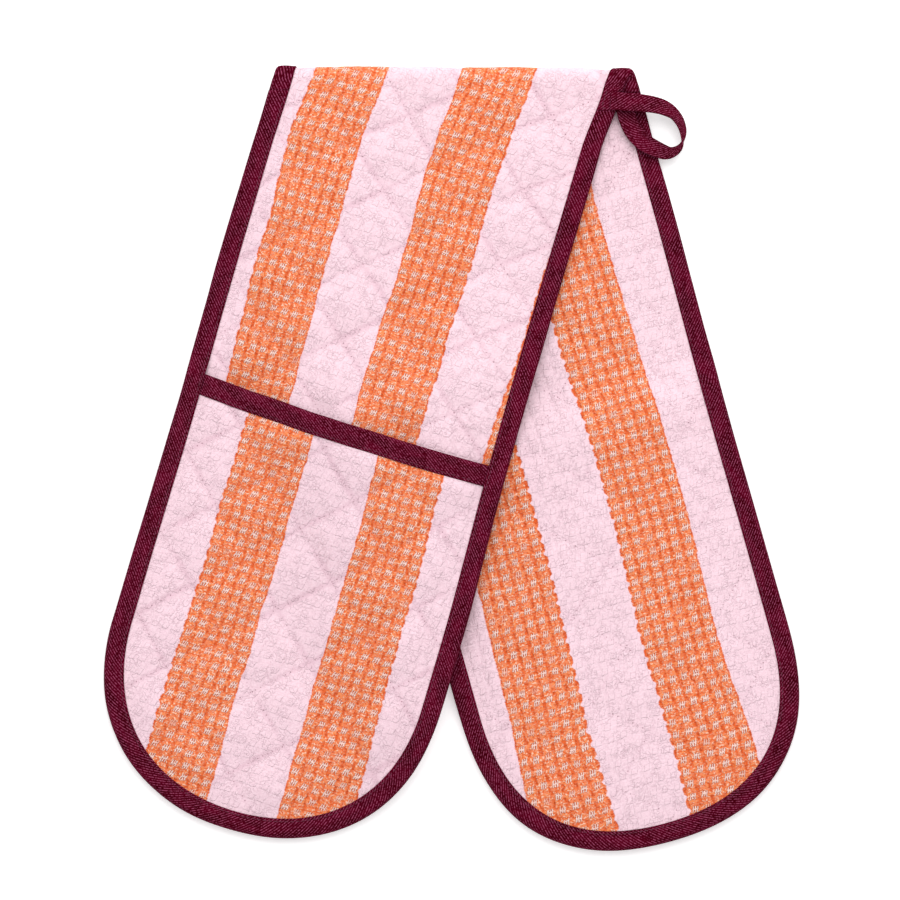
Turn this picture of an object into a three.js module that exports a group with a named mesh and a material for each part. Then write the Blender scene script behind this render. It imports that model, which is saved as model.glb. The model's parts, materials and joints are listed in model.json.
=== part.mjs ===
// Double oven glove: one long quilted strip with rounded ends and a hand pocket at each end,
// folded over at its middle and laid down, the front half on top of the back half.
//
// Units are millimetres, +Z is up and z = 0 is the table. The fold runs along X and both halves run
// towards -Y. The origin is the centre of the bounding box in X and Y.
//
// Every layer is drawn on the flat strip first. A flat point has a distance s along its half,
// measured from the fold, a distance t across it, and a height h above the middle of the cloth
// towards the pocket face. place() then folds and drapes it. All the layers of a half share the
// same grid of flat points, so that they lie parallel to each other with an even gap.

import * as THREE from 'three';
import { mergeVertices } from 'three/addons/utils/BufferGeometryUtils.js';

// The flat strip
const HALF_WIDTH = 90;
const BINDING_WIDTH = 10;
const FLANGE_RADIUS = HALF_WIDTH - BINDING_WIDTH;
const CLOTH_RADIUS = 88.5;
const FRONT = { side: 1, length: 332.5, mouth: 203.2, mouthTilt: 2.15, crown: 6.5 };
const BACK = { side: -1, length: 337.5, mouth: 208.2, mouthTilt: 0, crown: 0 };
const MOUTH_CURVE = 1.75;
const FOLD_ANGLE = THREE.MathUtils.degToRad(16);
const SIN = Math.sin(FOLD_ANGLE);
const COS = Math.cos(FOLD_ANGLE);

// The cloth, its layers and the gaps that keep them apart
const GAP = 0.3;
const COVER = 0.8;
const WADDING_EDGE = 1.0;
const WADDING_FULL = 2.2;
const POCKET_LINING = 0.6;
const POCKET_WADDING_EDGE = 0.6;
const POCKET_WADDING_FULL = 1.6;
const TAPE = 0.8;
const PUFF_START = BINDING_WIDTH;
const PUFF_LENGTH = 25;
const MOUTH_GAP = 0.5;
const MOUTH_ROOM = MOUTH_GAP + TAPE;
const RAMP = 14;

// How the strip lies: the fold is a half round, and the front half rises over the back half
const BACK_LEVEL = 2.7;
const BEND_RADIUS = 3.0;
const BEND_LENGTH = Math.PI * BEND_RADIUS;
const AXIS_LEVEL = BACK_LEVEL + BEND_RADIUS;
const FOLD_REACH = 6;
const FOLD_LIFT = 2 * BEND_RADIUS;
const POCKET_LIFT = 5.5;
const DRAPE_START = 15;
const DRAPE_LENGTH = 60;

// The hanging loop
const LOOP_WIDTH = 9.6;
const LOOP_THICKNESS = 1.2;
const LOOP_STEPS = 30;

const ARC_STEPS = 6;
const BODY_ROWS = 6;
const MITT_ROWS = 3;
const INNER_COLUMNS = [-2 / 3, -1 / 3, 0, 1 / 3, 2 / 3].map((part) => part * FLANGE_RADIUS);

const PINK = 0xf7d9e2;
const ORANGE = 0xef8558;
const PLUM = 0x5f1830;
const CREAM = 0xf3efe6;

const mix = THREE.MathUtils.lerp;
const smooth = (x, low, high) => THREE.MathUtils.smoothstep(x, low, high);

// ---------------------------------------------------------------------------
// Lines across a half, as the distance s at each t
// ---------------------------------------------------------------------------

function mouthLine(half, t) {
  const across = t / FLANGE_RADIUS;
  return half.mouth + half.mouthTilt * across - MOUTH_CURVE * across * across;
}

const rimLine = (half, t) => mouthLine(half, t) - BINDING_WIDTH / 2;
const flangeLine = (half, t) => mouthLine(half, t) + BINDING_WIDTH / 2;
const rampLine = (half, t) => rimLine(half, t) - RAMP;
const endLine = (half) => half.length;

// The line at a fixed distance from the fold, which crosses the strip at the fold's angle
const foldLine = (distance) => (half, t) => (distance - half.side * t * SIN) / COS;

const between = (from, to, part) => (half, t) => mix(from(half, t), to(half, t), part);

function linesBetween(from, to, count) {
  return Array.from({ length: count }, (_, k) => ({ line: between(from, to, (k + 1) / count) }));
}

const cutLine = foldLine(BEND_LENGTH / 2 + FOLD_REACH);
const ARC_ROWS = Array.from({ length: ARC_STEPS }, (_, k) => ({
  angle: ((k + 1) / ARC_STEPS) * (Math.PI / 2),
}));
const POCKET_ROWS = [
  { line: rimLine },
  { line: flangeLine },
  ...linesBetween(flangeLine, endLine, MITT_ROWS),
  ...ARC_ROWS,
];
const STRIP_ROWS = [
  { line: cutLine },
  ...linesBetween(cutLine, rampLine, BODY_ROWS),
  ...POCKET_ROWS,
];

// A grid point of a half. Columns are signed radii: beyond the binding's inner edge they follow the
// rounded end as rings, and inside it they run straight across from ring to ring.
function flatPoint(half, row, column) {
  if (row.line) return { s: row.line(half, column), t: column };
  const ring = Math.max(Math.abs(column), FLANGE_RADIUS);
  return {
    s: half.length + ring * Math.sin(row.angle),
    t: column * Math.cos(row.angle),
  };
}

// ---------------------------------------------------------------------------
// Heights of the layers above the middle of the cloth
// ---------------------------------------------------------------------------

function edgeDistance(half, s, t) {
  const past = Math.max(0, s - half.length);
  return HALF_WIDTH - Math.hypot(past, t);
}

function puff(half, s, t) {
  return smooth(edgeDistance(half, s, t), PUFF_START, PUFF_START + PUFF_LENGTH);
}

const waddingHalf = (half, s, t) => mix(WADDING_EDGE, WADDING_FULL, puff(half, s, t)) / 2;
const clothTop = (half, s, t) => waddingHalf(half, s, t) + GAP + COVER;
const pocketWadding = (half, s, t) => mix(POCKET_WADDING_EDGE, POCKET_WADDING_FULL, puff(half, s, t));

// Room between the pocket and the strip: a little at the sewn edge, the binding's inner flange at
// the mouth, and on the front pocket the fullness that leaves its mouth standing open.
function pocketRoom(half, s, t) {
  if (edgeDistance(half, s, t) < BINDING_WIDTH - 0.1) return GAP;
  const rim = rimLine(half, t);
  const mouth = 1 - smooth(s - flangeLine(half, t), 0, 30);
  const along = 1 - THREE.MathUtils.clamp((s - rim) / (half.length - rim), 0, 1);
  const across = Math.max(0, 1 - (t / FLANGE_RADIUS) ** 2);
  return GAP + MOUTH_ROOM * mouth + half.crown * along * along * across;
}

const pocketBase = (half, s, t) => clothTop(half, s, t) + pocketRoom(half, s, t);
const pocketTop = (half, s, t) =>
  pocketBase(half, s, t) + POCKET_LINING + GAP + pocketWadding(half, s, t) + GAP + COVER;
const inPocket = (half, s, t) => s > rimLine(half, t) - 0.01;
const stackTop = (half, s, t) => (inPocket(half, s, t) ? pocketTop : clothTop)(half, s, t);

// ---------------------------------------------------------------------------
// Folding and draping
// ---------------------------------------------------------------------------

// The back half lies pocket down, so its middle stands as high as its pocket is thick
function backLevel(s, t) {
  const rim = rimLine(BACK, t);
  const inside = Math.max(s, rim);
  const overBinding = edgeDistance(BACK, inside, t) < BINDING_WIDTH + 0.6;
  const overMouth = inside < flangeLine(BACK, t) + 0.01;
  const trim = overMouth ? MOUTH_ROOM : overBinding ? GAP + TAPE : GAP;
  const raised = pocketTop(BACK, inside, t) + trim;
  return mix(BACK_LEVEL, raised, THREE.MathUtils.clamp((s - rim + RAMP) / RAMP, 0, 1));
}

// The front half lies on the back half and drapes down to the table beside it
function frontLevel(x, y) {
  const q = BEND_LENGTH / 2 - y;
  const alongBack = x * SIN + q * COS;
  const pastEdge = x * COS - q * SIN + HALF_WIDTH;
  const onBack = smooth(pastEdge, -DRAPE_START - DRAPE_LENGTH, -DRAPE_START);
  const ramp = BACK.mouth - BINDING_WIDTH / 2 - RAMP;
  const overPocket = smooth(alongBack, ramp - 55, ramp - 5);
  return BACK_LEVEL + onBack * (FOLD_LIFT + POCKET_LIFT * overPocket);
}

// Where a flat point comes to lie, seen from above
const foldedX = (half, s, t) => -half.side * s * SIN + t * COS;
const foldedY = (half, s, t) => BEND_LENGTH / 2 - (s * COS + half.side * t * SIN);

// The height of the middle of the cloth. The bound edge stays level across its width, so a point in
// it takes the height of the binding's inner edge.
function level(half, s, t) {
  const past = Math.max(0, s - half.length);
  const inward = Math.min(1, FLANGE_RADIUS / Math.max(1, Math.hypot(past, t)));
  const insideS = s - past + past * inward;
  const insideT = t * inward;
  if (half.side < 0) return backLevel(insideS, insideT);
  return frontLevel(foldedX(half, insideS, insideT), foldedY(half, insideS, insideT));
}

function place(half, s, t, h) {
  const z = level(half, s, t) + half.side * h;
  return new THREE.Vector3(foldedX(half, s, t), foldedY(half, s, t), z);
}

const alongHalf = (half) => new THREE.Vector3(-half.side * SIN, -COS, 0);

// The fold itself: q is the distance from the fold line, negative on the back half
function placeFold(q, t, h) {
  const s = (q - t * SIN) / COS;
  const x = -s * SIN + t * COS;
  const inBend = THREE.MathUtils.clamp(q, -BEND_LENGTH / 2, BEND_LENGTH / 2);
  const angle = inBend / BEND_RADIUS;
  const radius = BEND_RADIUS + h;
  const straight = Math.abs(q) - Math.abs(inBend);
  return new THREE.Vector3(x, radius * Math.cos(angle) - straight, AXIS_LEVEL + radius * Math.sin(angle));
}

// ---------------------------------------------------------------------------
// Closed solids from grids of points
// ---------------------------------------------------------------------------

function closedGeometry(positions, triangles) {
  const loose = new THREE.BufferGeometry();
  loose.setAttribute('position', new THREE.Float32BufferAttribute(positions.flatMap((p) => p.toArray()), 3));
  loose.setIndex(triangles.flat());
  const merged = mergeVertices(loose, 1e-3);
  const index = merged.getIndex().array;
  const kept = [];
  for (let k = 0; k < index.length; k += 3) {
    const [a, b, c] = [index[k], index[k + 1], index[k + 2]];
    if (a !== b && b !== c && c !== a) kept.push(a, b, c);
  }
  merged.setIndex(kept);
  merged.computeVertexNormals();
  return merged;
}

const quad = (a, b, c, d) => [[a, b, c], [a, c, d]];

// A sheet with thickness. top and bottom are grids [row][column]; a pointed sheet's last row has no
// wall, because its two halves meet there.
function sheet(top, bottom, pointed) {
  const rows = top.length;
  const columns = top[0].length;
  const positions = [...top.flat(), ...bottom.flat()];
  const up = (j, i) => j * columns + i;
  const down = (j, i) => rows * columns + j * columns + i;
  const triangles = [];
  for (let j = 0; j < rows - 1; j += 1) {
    for (let i = 0; i < columns - 1; i += 1) {
      triangles.push(...quad(up(j, i), up(j + 1, i), up(j + 1, i + 1), up(j, i + 1)));
      triangles.push(...quad(down(j, i), down(j, i + 1), down(j + 1, i + 1), down(j + 1, i)));
    }
    const last = columns - 1;
    triangles.push(...quad(up(j, 0), down(j, 0), down(j + 1, 0), up(j + 1, 0)));
    triangles.push(...quad(up(j, last), up(j + 1, last), down(j + 1, last), down(j, last)));
  }
  const ends = pointed ? [0] : [0, rows - 1];
  for (const j of ends) {
    for (let i = 0; i < columns - 1; i += 1) {
      const wall = quad(up(j, i), up(j, i + 1), down(j, i + 1), down(j, i));
      triangles.push(...(j === 0 ? wall : wall.map((corner) => corner.reverse())));
    }
  }
  return closedGeometry(positions, triangles);
}

// A bar whose cross-section is the same loop of points at every station
function sweep(stations, flip) {
  const count = stations[0].length;
  const triangles = [];
  for (let k = 0; k < stations.length - 1; k += 1) {
    for (let i = 0; i < count; i += 1) {
      const next = (i + 1) % count;
      const [a, b] = [k * count + i, k * count + next];
      triangles.push(...quad(a, b, b + count, a + count));
    }
  }
  const caps = THREE.ShapeUtils.triangulateShape(sectionOutline(stations[0]), []);
  const lastStation = (stations.length - 1) * count;
  for (const [a, b, c] of caps) {
    triangles.push([c, b, a]);
    triangles.push([a + lastStation, b + lastStation, c + lastStation]);
  }
  const turned = flip ? triangles.map(([a, b, c]) => [c, b, a]) : triangles;
  return closedGeometry(stations.flat(), turned);
}

// The first section, flattened onto its own plane
function sectionOutline(section) {
  const [a, b] = section;
  const along = b.clone().sub(a).normalize();
  const normal = new THREE.Vector3();
  section.forEach((point, i) => {
    const next = section[(i + 1) % section.length];
    normal.add(point.clone().sub(a).cross(next.clone().sub(a)));
  });
  const across = normal.normalize().clone().cross(along);
  return section.map((point) => {
    const offset = point.clone().sub(a);
    return new THREE.Vector2(offset.dot(along), offset.dot(across));
  });
}

// ---------------------------------------------------------------------------
// The pieces
// ---------------------------------------------------------------------------

const object = new THREE.Group();

function add(name, geometry, color, roughness = 0.95) {
  const material = new THREE.MeshStandardMaterial({ color, roughness, metalness: 0 });
  const mesh = new THREE.Mesh(geometry, material);
  mesh.name = name;
  object.add(mesh);
}

// One layer of a half between the heights low and high. On the back half the pocket face is down,
// so its grid runs the other way to keep the faces outwards.
function layer(half, rows, columns, low, high) {
  const ordered = half.side > 0 ? columns : [...columns].reverse();
  const grid = (height) =>
    rows.map((row) =>
      ordered.map((column) => {
        const { s, t } = flatPoint(half, row, column);
        return place(half, s, t, height(half, s, t));
      }),
    );
  return sheet(grid(high), grid(low), true);
}

const COLUMNS = [-CLOTH_RADIUS, -FLANGE_RADIUS, ...INNER_COLUMNS, FLANGE_RADIUS, CLOTH_RADIUS];
const LID_RADIUS = FLANGE_RADIUS - 0.5;
const LID_COLUMNS = [-LID_RADIUS, ...INNER_COLUMNS, LID_RADIUS];

const outerLow = (half, s, t) => waddingHalf(half, s, t) + GAP;
const outerHigh = (half, s, t) => clothTop(half, s, t);
const waddingLow = (half, s, t) => -waddingHalf(half, s, t);
const backingHigh = (half, s, t) => -outerLow(half, s, t);
const backingLow = (half, s, t) => -outerHigh(half, s, t);

function addStrip(half, name) {
  add(`${name}_outer_cover`, layer(half, STRIP_ROWS, COLUMNS, outerLow, outerHigh), ORANGE);
  add(`${name}_wadding`, layer(half, STRIP_ROWS, COLUMNS, waddingLow, waddingHalf), CREAM);
  add(`${name}_backing_cover`, layer(half, STRIP_ROWS, COLUMNS, backingLow, backingHigh), PINK);
}

// The pocket stops inside the binding; its sewn edge under the binding is a piece of its own,
// because it stays down when the pocket opens.
function addPocket(half, name) {
  const liningTop = (h, s, t) => pocketBase(h, s, t) + POCKET_LINING;
  const paddingLow = (h, s, t) => liningTop(h, s, t) + GAP;
  const paddingHigh = (h, s, t) => paddingLow(h, s, t) + pocketWadding(h, s, t);
  const coverLow = (h, s, t) => paddingHigh(h, s, t) + GAP;
  const rows = POCKET_ROWS;
  add(`${name}_pocket_outer_cover`, layer(half, rows, LID_COLUMNS, coverLow, pocketTop), ORANGE);
  add(`${name}_pocket_wadding`, layer(half, rows, LID_COLUMNS, paddingLow, paddingHigh), CREAM);
  add(`${name}_pocket_lining`, layer(half, rows, LID_COLUMNS, pocketBase, liningTop), PINK);
  add(`${name}_pocket_seam`, seamGeometry(half), ORANGE);
  add(`${name}_pocket_mouth_binding`, mouthBinding(half), PLUM, 0.8);
}

// Stations round a half's edge: down the left side, round the end and up the right side
function edgeStations(half, rows) {
  const left = rows.map((row) => ({ row, sign: -1 }));
  const right = rows.slice(0, -1).reverse().map((row) => ({ row, sign: 1 }));
  return [...left, ...right].map(({ row, sign }) => (radius) => flatPoint(half, row, sign * radius));
}

// The pocket's layers pressed together and sewn in under the binding
function seamGeometry(half) {
  const inner = FLANGE_RADIUS + 0.2;
  const stations = edgeStations(half, POCKET_ROWS).map((at) =>
    [[inner, false], [CLOTH_RADIUS, false], [CLOTH_RADIUS, true], [inner, true]].map(([radius, high]) => {
      const { s, t } = at(radius);
      const base = clothTop(half, s, t) + GAP;
      return place(half, s, t, high ? pocketTop(half, s, t) : base);
    }),
  );
  return sweep(stations, half.side > 0);
}

// The binding is a strip of tape folded round the edge of the cloth, with a flange on each face
const INNER_WALL = 88.9;
const ROUND_START = 88.6;
const ROUND_DROP = 1.2;

function bindingSection(at, placeAt, topAt, underside) {
  const flangeLow = (radius) => topAt(at(Math.min(radius, CLOTH_RADIUS))) + GAP;
  const high = (radius) => flangeLow(radius) + TAPE;
  const low = underside + GAP;
  const points = [
    [FLANGE_RADIUS, high(FLANGE_RADIUS)],
    [ROUND_START, high(ROUND_START)],
    [HALF_WIDTH, high(ROUND_START) - ROUND_DROP],
    [HALF_WIDTH, -(low + TAPE - ROUND_DROP)],
    [ROUND_START, -(low + TAPE)],
    [FLANGE_RADIUS, -(low + TAPE)],
    [FLANGE_RADIUS, -low],
    [INNER_WALL, -low],
    [INNER_WALL, flangeLow(ROUND_START)],
    [FLANGE_RADIUS, flangeLow(FLANGE_RADIUS)],
  ];
  return points.map(([radius, h]) => placeAt(at(radius), h));
}

const EDGE_CLOTH = WADDING_EDGE / 2 + GAP + COVER;

function edgeBinding(half) {
  const placeAt = ({ s, t }, h) => place(half, s, t, h);
  const topAt = ({ s, t }) => stackTop(half, s, t);
  const stations = edgeStations(half, STRIP_ROWS).map((at) =>
    bindingSection(at, placeAt, topAt, EDGE_CLOTH),
  );
  return sweep(stations, half.side < 0);
}

// The pocket's mouth has a binding of its own, folded round the edge of the pocket's layers
function mouthBinding(half) {
  const stations = LID_COLUMNS.map((t) => {
    const rim = rimLine(half, t);
    const flange = flangeLine(half, t);
    const at = (s, height, offset) => {
      const inside = Math.max(s, rim);
      const point = place(half, inside, t, height(half, inside, t) + offset);
      return point.addScaledVector(alongHalf(half), s - inside);
    };
    return [
      at(flange, pocketTop, MOUTH_GAP + TAPE),
      at(rim - MOUTH_GAP, pocketTop, MOUTH_GAP + TAPE),
      at(rim - MOUTH_GAP - TAPE, pocketTop, 0),
      at(rim - MOUTH_GAP - TAPE, pocketBase, 0),
      at(rim - MOUTH_GAP, pocketBase, -MOUTH_GAP - TAPE),
      at(flange, pocketBase, -MOUTH_GAP - TAPE),
      at(flange, pocketBase, -MOUTH_GAP),
      at(rim - MOUTH_GAP, pocketBase, -MOUTH_GAP),
      at(rim - MOUTH_GAP, pocketTop, MOUTH_GAP),
      at(flange, pocketTop, MOUTH_GAP),
    ];
  });
  return sweep(stations, half.side > 0);
}

// The fold is a piece of every layer, from just behind the bend on the back half to just behind it
// on the front half
const FOLD_END = BEND_LENGTH / 2 + FOLD_REACH - GAP;
const BEND_STEPS = 6;
const FOLD_ROWS = [
  -FOLD_END,
  ...Array.from({ length: BEND_STEPS + 1 }, (_, k) => (k / BEND_STEPS - 0.5) * BEND_LENGTH),
  FOLD_END,
];

// At the fold the half is told apart only by its sign, so the puff is that of a straight stretch
function foldLayer(low, high) {
  const grid = (height) =>
    FOLD_ROWS.map((q) => COLUMNS.map((t) => placeFold(q, t, height(FRONT, 0, t))));
  return sheet(grid(high), grid(low), false);
}

function foldBinding(sign) {
  const stations = FOLD_ROWS.map((q) => {
    const at = (radius) => ({ q, t: sign * radius });
    return bindingSection(at, (point, h) => placeFold(point.q, point.t, h), () => EDGE_CLOTH, EDGE_CLOTH);
  });
  return sweep(stations, sign > 0);
}

function addFold() {
  add('fold_outer_cover', foldLayer(outerLow, outerHigh), ORANGE);
  add('fold_wadding', foldLayer(waddingLow, waddingHalf), CREAM);
  add('fold_backing_cover', foldLayer(backingLow, backingHigh), PINK);
  add('fold_binding_left', foldBinding(-1), PLUM, 0.8);
  add('fold_binding_right', foldBinding(1), PLUM, 0.8);
}

// The hanging loop: a ribbon that leaves the corner of the fold with its outer face up, stands on
// its edge where it turns, and comes back under itself with its outer face down.
const LOOP_PATH = [
  [94.6, -11.6, 12.2],
  [100, -12.0, 12.0],
  [105.8, -12.8, 11.2],
  [111.2, -14.2, 9.8],
  [116.3, -17.0, 8.2],
  [120.0, -21.7, 7.0],
  [121.8, -27.6, 6.2],
  [121.0, -33.4, 5.8],
  [117.2, -37.2, 6.2],
  [112.0, -37.8, 6.8],
  [105.8, -35.4, 7.3],
  [100.0, -31.6, 7.7],
  [94.9, -27.4, 8.1],
  [90.9, -22.6, 8.5],
];
const LOOP_FACING = [
  [0, 0.15, 1],
  [0, 0.3, 1],
  [0.1, 0.4, 0.9],
  [0.4, 0.45, 0.8],
  [0.75, 0.4, 0.6],
  [0.9, 0.15, 0.45],
  [1, -0.05, 0.3],
  [0.85, -0.5, -0.1],
  [0.3, -0.85, -0.5],
  [-0.1, -0.6, -0.8],
  [-0.1, -0.4, -0.9],
  [-0.1, -0.25, -1],
  [-0.1, -0.15, -1],
  [-0.1, -0.1, -1],
];

function loopGeometry() {
  const curveOf = (points) => new THREE.CatmullRomCurve3(points.map((p) => new THREE.Vector3(...p)));
  const path = curveOf(LOOP_PATH);
  const facing = curveOf(LOOP_FACING);
  const stations = Array.from({ length: LOOP_STEPS + 1 }, (_, k) => {
    const along = k / LOOP_STEPS;
    const centre = path.getPoint(along);
    const tangent = path.getTangent(along);
    const normal = facing.getPoint(along);
    normal.addScaledVector(tangent, -normal.dot(tangent)).normalize();
    const across = tangent.clone().cross(normal);
    return [[-1, -1], [1, -1], [1, 1], [-1, 1]].map(([side, face]) =>
      centre
        .clone()
        .addScaledVector(across, (side * LOOP_WIDTH) / 2)
        .addScaledVector(normal, (face * LOOP_THICKNESS) / 2),
    );
  });
  return sweep(stations, true);
}

// The end of the binding tape, laid over the front half's binding and sewn down, which holds the loop
const PATCH_START = 8;
const PATCH_LENGTH = 14;

function patchGeometry() {
  const base = clothTop(FRONT, 0, HALF_WIDTH) + GAP + TAPE + GAP;
  const grid = (h) =>
    [0, 1].map((end) =>
      [FLANGE_RADIUS, ROUND_START].map((t) => {
        const s = foldLine(BEND_LENGTH / 2 + PATCH_START)(FRONT, t) + end * PATCH_LENGTH;
        return place(FRONT, s, t, h);
      }),
    );
  return sheet(grid(base + TAPE), grid(base), false);
}

addStrip(BACK, 'back');
add('back_edge_binding', edgeBinding(BACK), PLUM, 0.8);
addPocket(BACK, 'back');
addFold();
addStrip(FRONT, 'front');
add('front_edge_binding', edgeBinding(FRONT), PLUM, 0.8);
addPocket(FRONT, 'front');
add('hanging_loop', loopGeometry(), PLUM, 0.8);
add('loop_anchor_patch', patchGeometry(), PLUM, 0.8);

const box = new THREE.Box3().setFromObject(object);
const centre = box.getCenter(new THREE.Vector3());
object.position.set(-centre.x, -centre.y, 0);

export default object;
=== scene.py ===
"""Looks of the double oven glove, laid folded on a pale table and seen from above.

Lengths are in millimetres until a mesh is made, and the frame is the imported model's. Every layer is
drawn on the flat strip first: a flat point has a distance s from the fold along its half, a distance
t across it, and a height h above the middle of the cloth towards the face with the pockets. The A
face is the one with the pockets, and the B face is the other one.
"""

import json
from dataclasses import dataclass
from functools import partialmethod
from math import ceil, copysign, cos, dist, floor, hypot, inf, pi, radians, sin, sqrt

import bpy
import numpy as np
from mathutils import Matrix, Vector


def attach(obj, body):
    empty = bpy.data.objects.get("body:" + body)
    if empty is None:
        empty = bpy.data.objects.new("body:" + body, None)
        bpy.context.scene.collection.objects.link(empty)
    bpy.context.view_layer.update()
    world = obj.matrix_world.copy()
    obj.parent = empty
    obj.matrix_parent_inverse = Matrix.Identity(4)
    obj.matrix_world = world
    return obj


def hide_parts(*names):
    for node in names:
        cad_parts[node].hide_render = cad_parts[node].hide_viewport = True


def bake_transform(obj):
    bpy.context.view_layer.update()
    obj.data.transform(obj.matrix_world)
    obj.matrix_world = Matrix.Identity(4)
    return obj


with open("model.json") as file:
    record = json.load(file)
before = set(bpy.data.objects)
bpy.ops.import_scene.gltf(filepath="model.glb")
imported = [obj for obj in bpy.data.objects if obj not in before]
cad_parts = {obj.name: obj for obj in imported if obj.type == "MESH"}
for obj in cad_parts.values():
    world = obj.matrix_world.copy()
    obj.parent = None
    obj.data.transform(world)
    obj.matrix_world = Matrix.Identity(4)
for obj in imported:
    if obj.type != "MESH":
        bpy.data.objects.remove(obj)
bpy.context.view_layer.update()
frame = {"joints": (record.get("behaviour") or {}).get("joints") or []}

MM = 0.001
FOLD_JOINT = next(joint for joint in frame["joints"] if joint["name"] == "fold")
FOLD_X, FOLD_Y, AXIS_LEVEL = [value / MM for value in FOLD_JOINT["pos_m"]]
SIDES = {-1: "left", 1: "right"}

# The flat strip

HALF_WIDTH = 90.0
BINDING_WIDTH = 10.0
FLANGE_RADIUS = HALF_WIDTH - BINDING_WIDTH
CLOTH_RADIUS = 88.5
POCKET_RADIUS = 81.5
MOUTH_CURVE = 1.75
FOLD_ANGLE = radians(16)
SIN, COS = sin(FOLD_ANGLE), cos(FOLD_ANGLE)

BACK_LEVEL = 2.7
BEND_RADIUS = 3.0
BEND_LENGTH = pi * BEND_RADIUS
FOLD_REACH = 6.0
CUT = BEND_LENGTH / 2 + FOLD_REACH
FOLD_LIFT = 2 * BEND_RADIUS
POCKET_LIFT = 5.5
DRAPE_START = 15.0
DRAPE_LENGTH = 60.0
RAMP = 26.0

EDGE_HEIGHT = 1.6
BODY_HEIGHT = 1.75
COVER = 0.7
WADDING_GAP = 0.35
TABLE_GAP = 0.12
MOUTH_ROOM = 1.3
POCKET_STACK = 2.9


@dataclass(eq=False)
class Half:
    """One half of the strip. side is 1 on the half that lies on top, pocket up. square and full say
    how much its end is squarer and wider than a half circle."""

    name: str
    side: int
    length: float
    mouth: float
    tilt: float
    crown: float
    square: float
    full: float

    @property
    def body(self):
        return f"{self.name}_half"


FRONT = Half("front", 1, 332.5, 203.2, 2.15, 6.5, 1.4, 1.9)
BACK = Half("back", -1, 337.5, 208.2, 0.0, 0.0, 2.35, 2.7)


def mix(a, b, part):
    return a + (b - a) * part


def smooth(x, low, high):
    """0 at low, 1 at high, and a smooth step between them."""
    x = np.clip((np.asarray(x, float) - low) / (high - low), 0, 1)
    return x * x * (3 - 2 * x)


def fract(x):
    return x - np.floor(x)


def noise(x, y, seed):
    """Smooth noise from -1 to 1 with one hill or hollow per unit, the same on every run."""
    x, y = np.broadcast_arrays(np.asarray(x, float), np.asarray(y, float))
    left, low = np.floor(x).astype(np.int64), np.floor(y).astype(np.int64)
    right_part, high_part = smooth(x - left, 0, 1), smooth(y - low, 0, 1)

    def corner(i, j):
        n = (i * 374761393 + j * 668265263 + seed * 974634777) & 0x7FFFFFFF
        n = ((n ^ (n >> 13)) * 1274126177) & 0x7FFFFFFF
        return ((n ^ (n >> 16)) & 0xFFFF) / 32767.5 - 1

    near = mix(corner(left, low), corner(left + 1, low), right_part)
    far = mix(corner(left, low + 1), corner(left + 1, low + 1), right_part)
    return mix(near, far, high_part)


def mouth_line(half, t):
    across = t / FLANGE_RADIUS
    return half.mouth + half.tilt * across - MOUTH_CURVE * across * across


def rim_line(half, t):
    return mouth_line(half, t) - BINDING_WIDTH / 2


def flange_line(half, t):
    return mouth_line(half, t) + BINDING_WIDTH / 2


def cut_line(half, t):
    return (CUT - half.side * t * SIN) / COS


def end_line(half, t, radius):
    return half.length + np.sqrt(np.maximum(radius**2 - t**2, 0))


def edge_distance(half, s, t):
    return HALF_WIDTH - np.hypot(np.maximum(0, s - half.length), t)


def open_part(half, s, t):
    """0 under the edge binding, rising to 1 where the wadding is at its full height."""
    return smooth(edge_distance(half, s, t), BINDING_WIDTH, BINDING_WIDTH + 14)


# Heights and levels


def pocket_room(half, s, t):
    """The space between the strip and the pocket, most at the middle of the front pocket's mouth."""
    rim = rim_line(half, t)
    mouth = 1 - smooth(s - flange_line(half, t), 0, 30)
    along = 1 - np.clip((s - rim) / (half.length - rim), 0, 1)
    across = np.maximum(0, 1 - (t / FLANGE_RADIUS) ** 2)
    inside = smooth(edge_distance(half, s, t), BINDING_WIDTH, BINDING_WIDTH + 6)
    return 0.1 + inside * (0.2 + MOUTH_ROOM * mouth) + half.crown * along * along * across


def body_height(half, s, t):
    """The smooth height of a face of the strip, without the quilting."""
    return mix(EDGE_HEIGHT, BODY_HEIGHT, smooth(edge_distance(half, s, t), BINDING_WIDTH, 24))


def pocket_base(half, s, t):
    return 2.0 + pocket_room(half, s, t)


def pocket_height(half, s, t):
    puffed = smooth(edge_distance(half, s, t), BINDING_WIDTH, 26)
    return pocket_base(half, s, t) + mix(2.4, 2.9, puffed)


def back_level(s, t):
    rim = rim_line(BACK, t)
    inside = np.maximum(s, rim)
    over_mouth = 1 - smooth(inside - flange_line(BACK, t), 0, 12)
    over_binding = 1 - smooth(edge_distance(BACK, inside, t), 10.6, 20)
    trim = 0.9 + np.maximum(0.3 * over_binding, 0.5 * over_mouth)
    raised = pocket_height(BACK, inside, t) + trim
    return mix(BACK_LEVEL, raised, smooth(s - rim, -RAMP, 0))


def front_level(x, y):
    q = BEND_LENGTH / 2 - y
    along_back = x * SIN + q * COS
    past_edge = x * COS - q * SIN + HALF_WIDTH
    on_back = smooth(past_edge, -DRAPE_START - DRAPE_LENGTH, -DRAPE_START)
    ramp = BACK.mouth - BINDING_WIDTH / 2 - RAMP
    over_pocket = smooth(along_back, ramp - 55, ramp - 5)
    return BACK_LEVEL + on_back * (FOLD_LIFT + POCKET_LIFT * over_pocket)


def folded_xy(half, s, t):
    return -half.side * s * SIN + t * COS, BEND_LENGTH / 2 - (s * COS + half.side * t * SIN)


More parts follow.
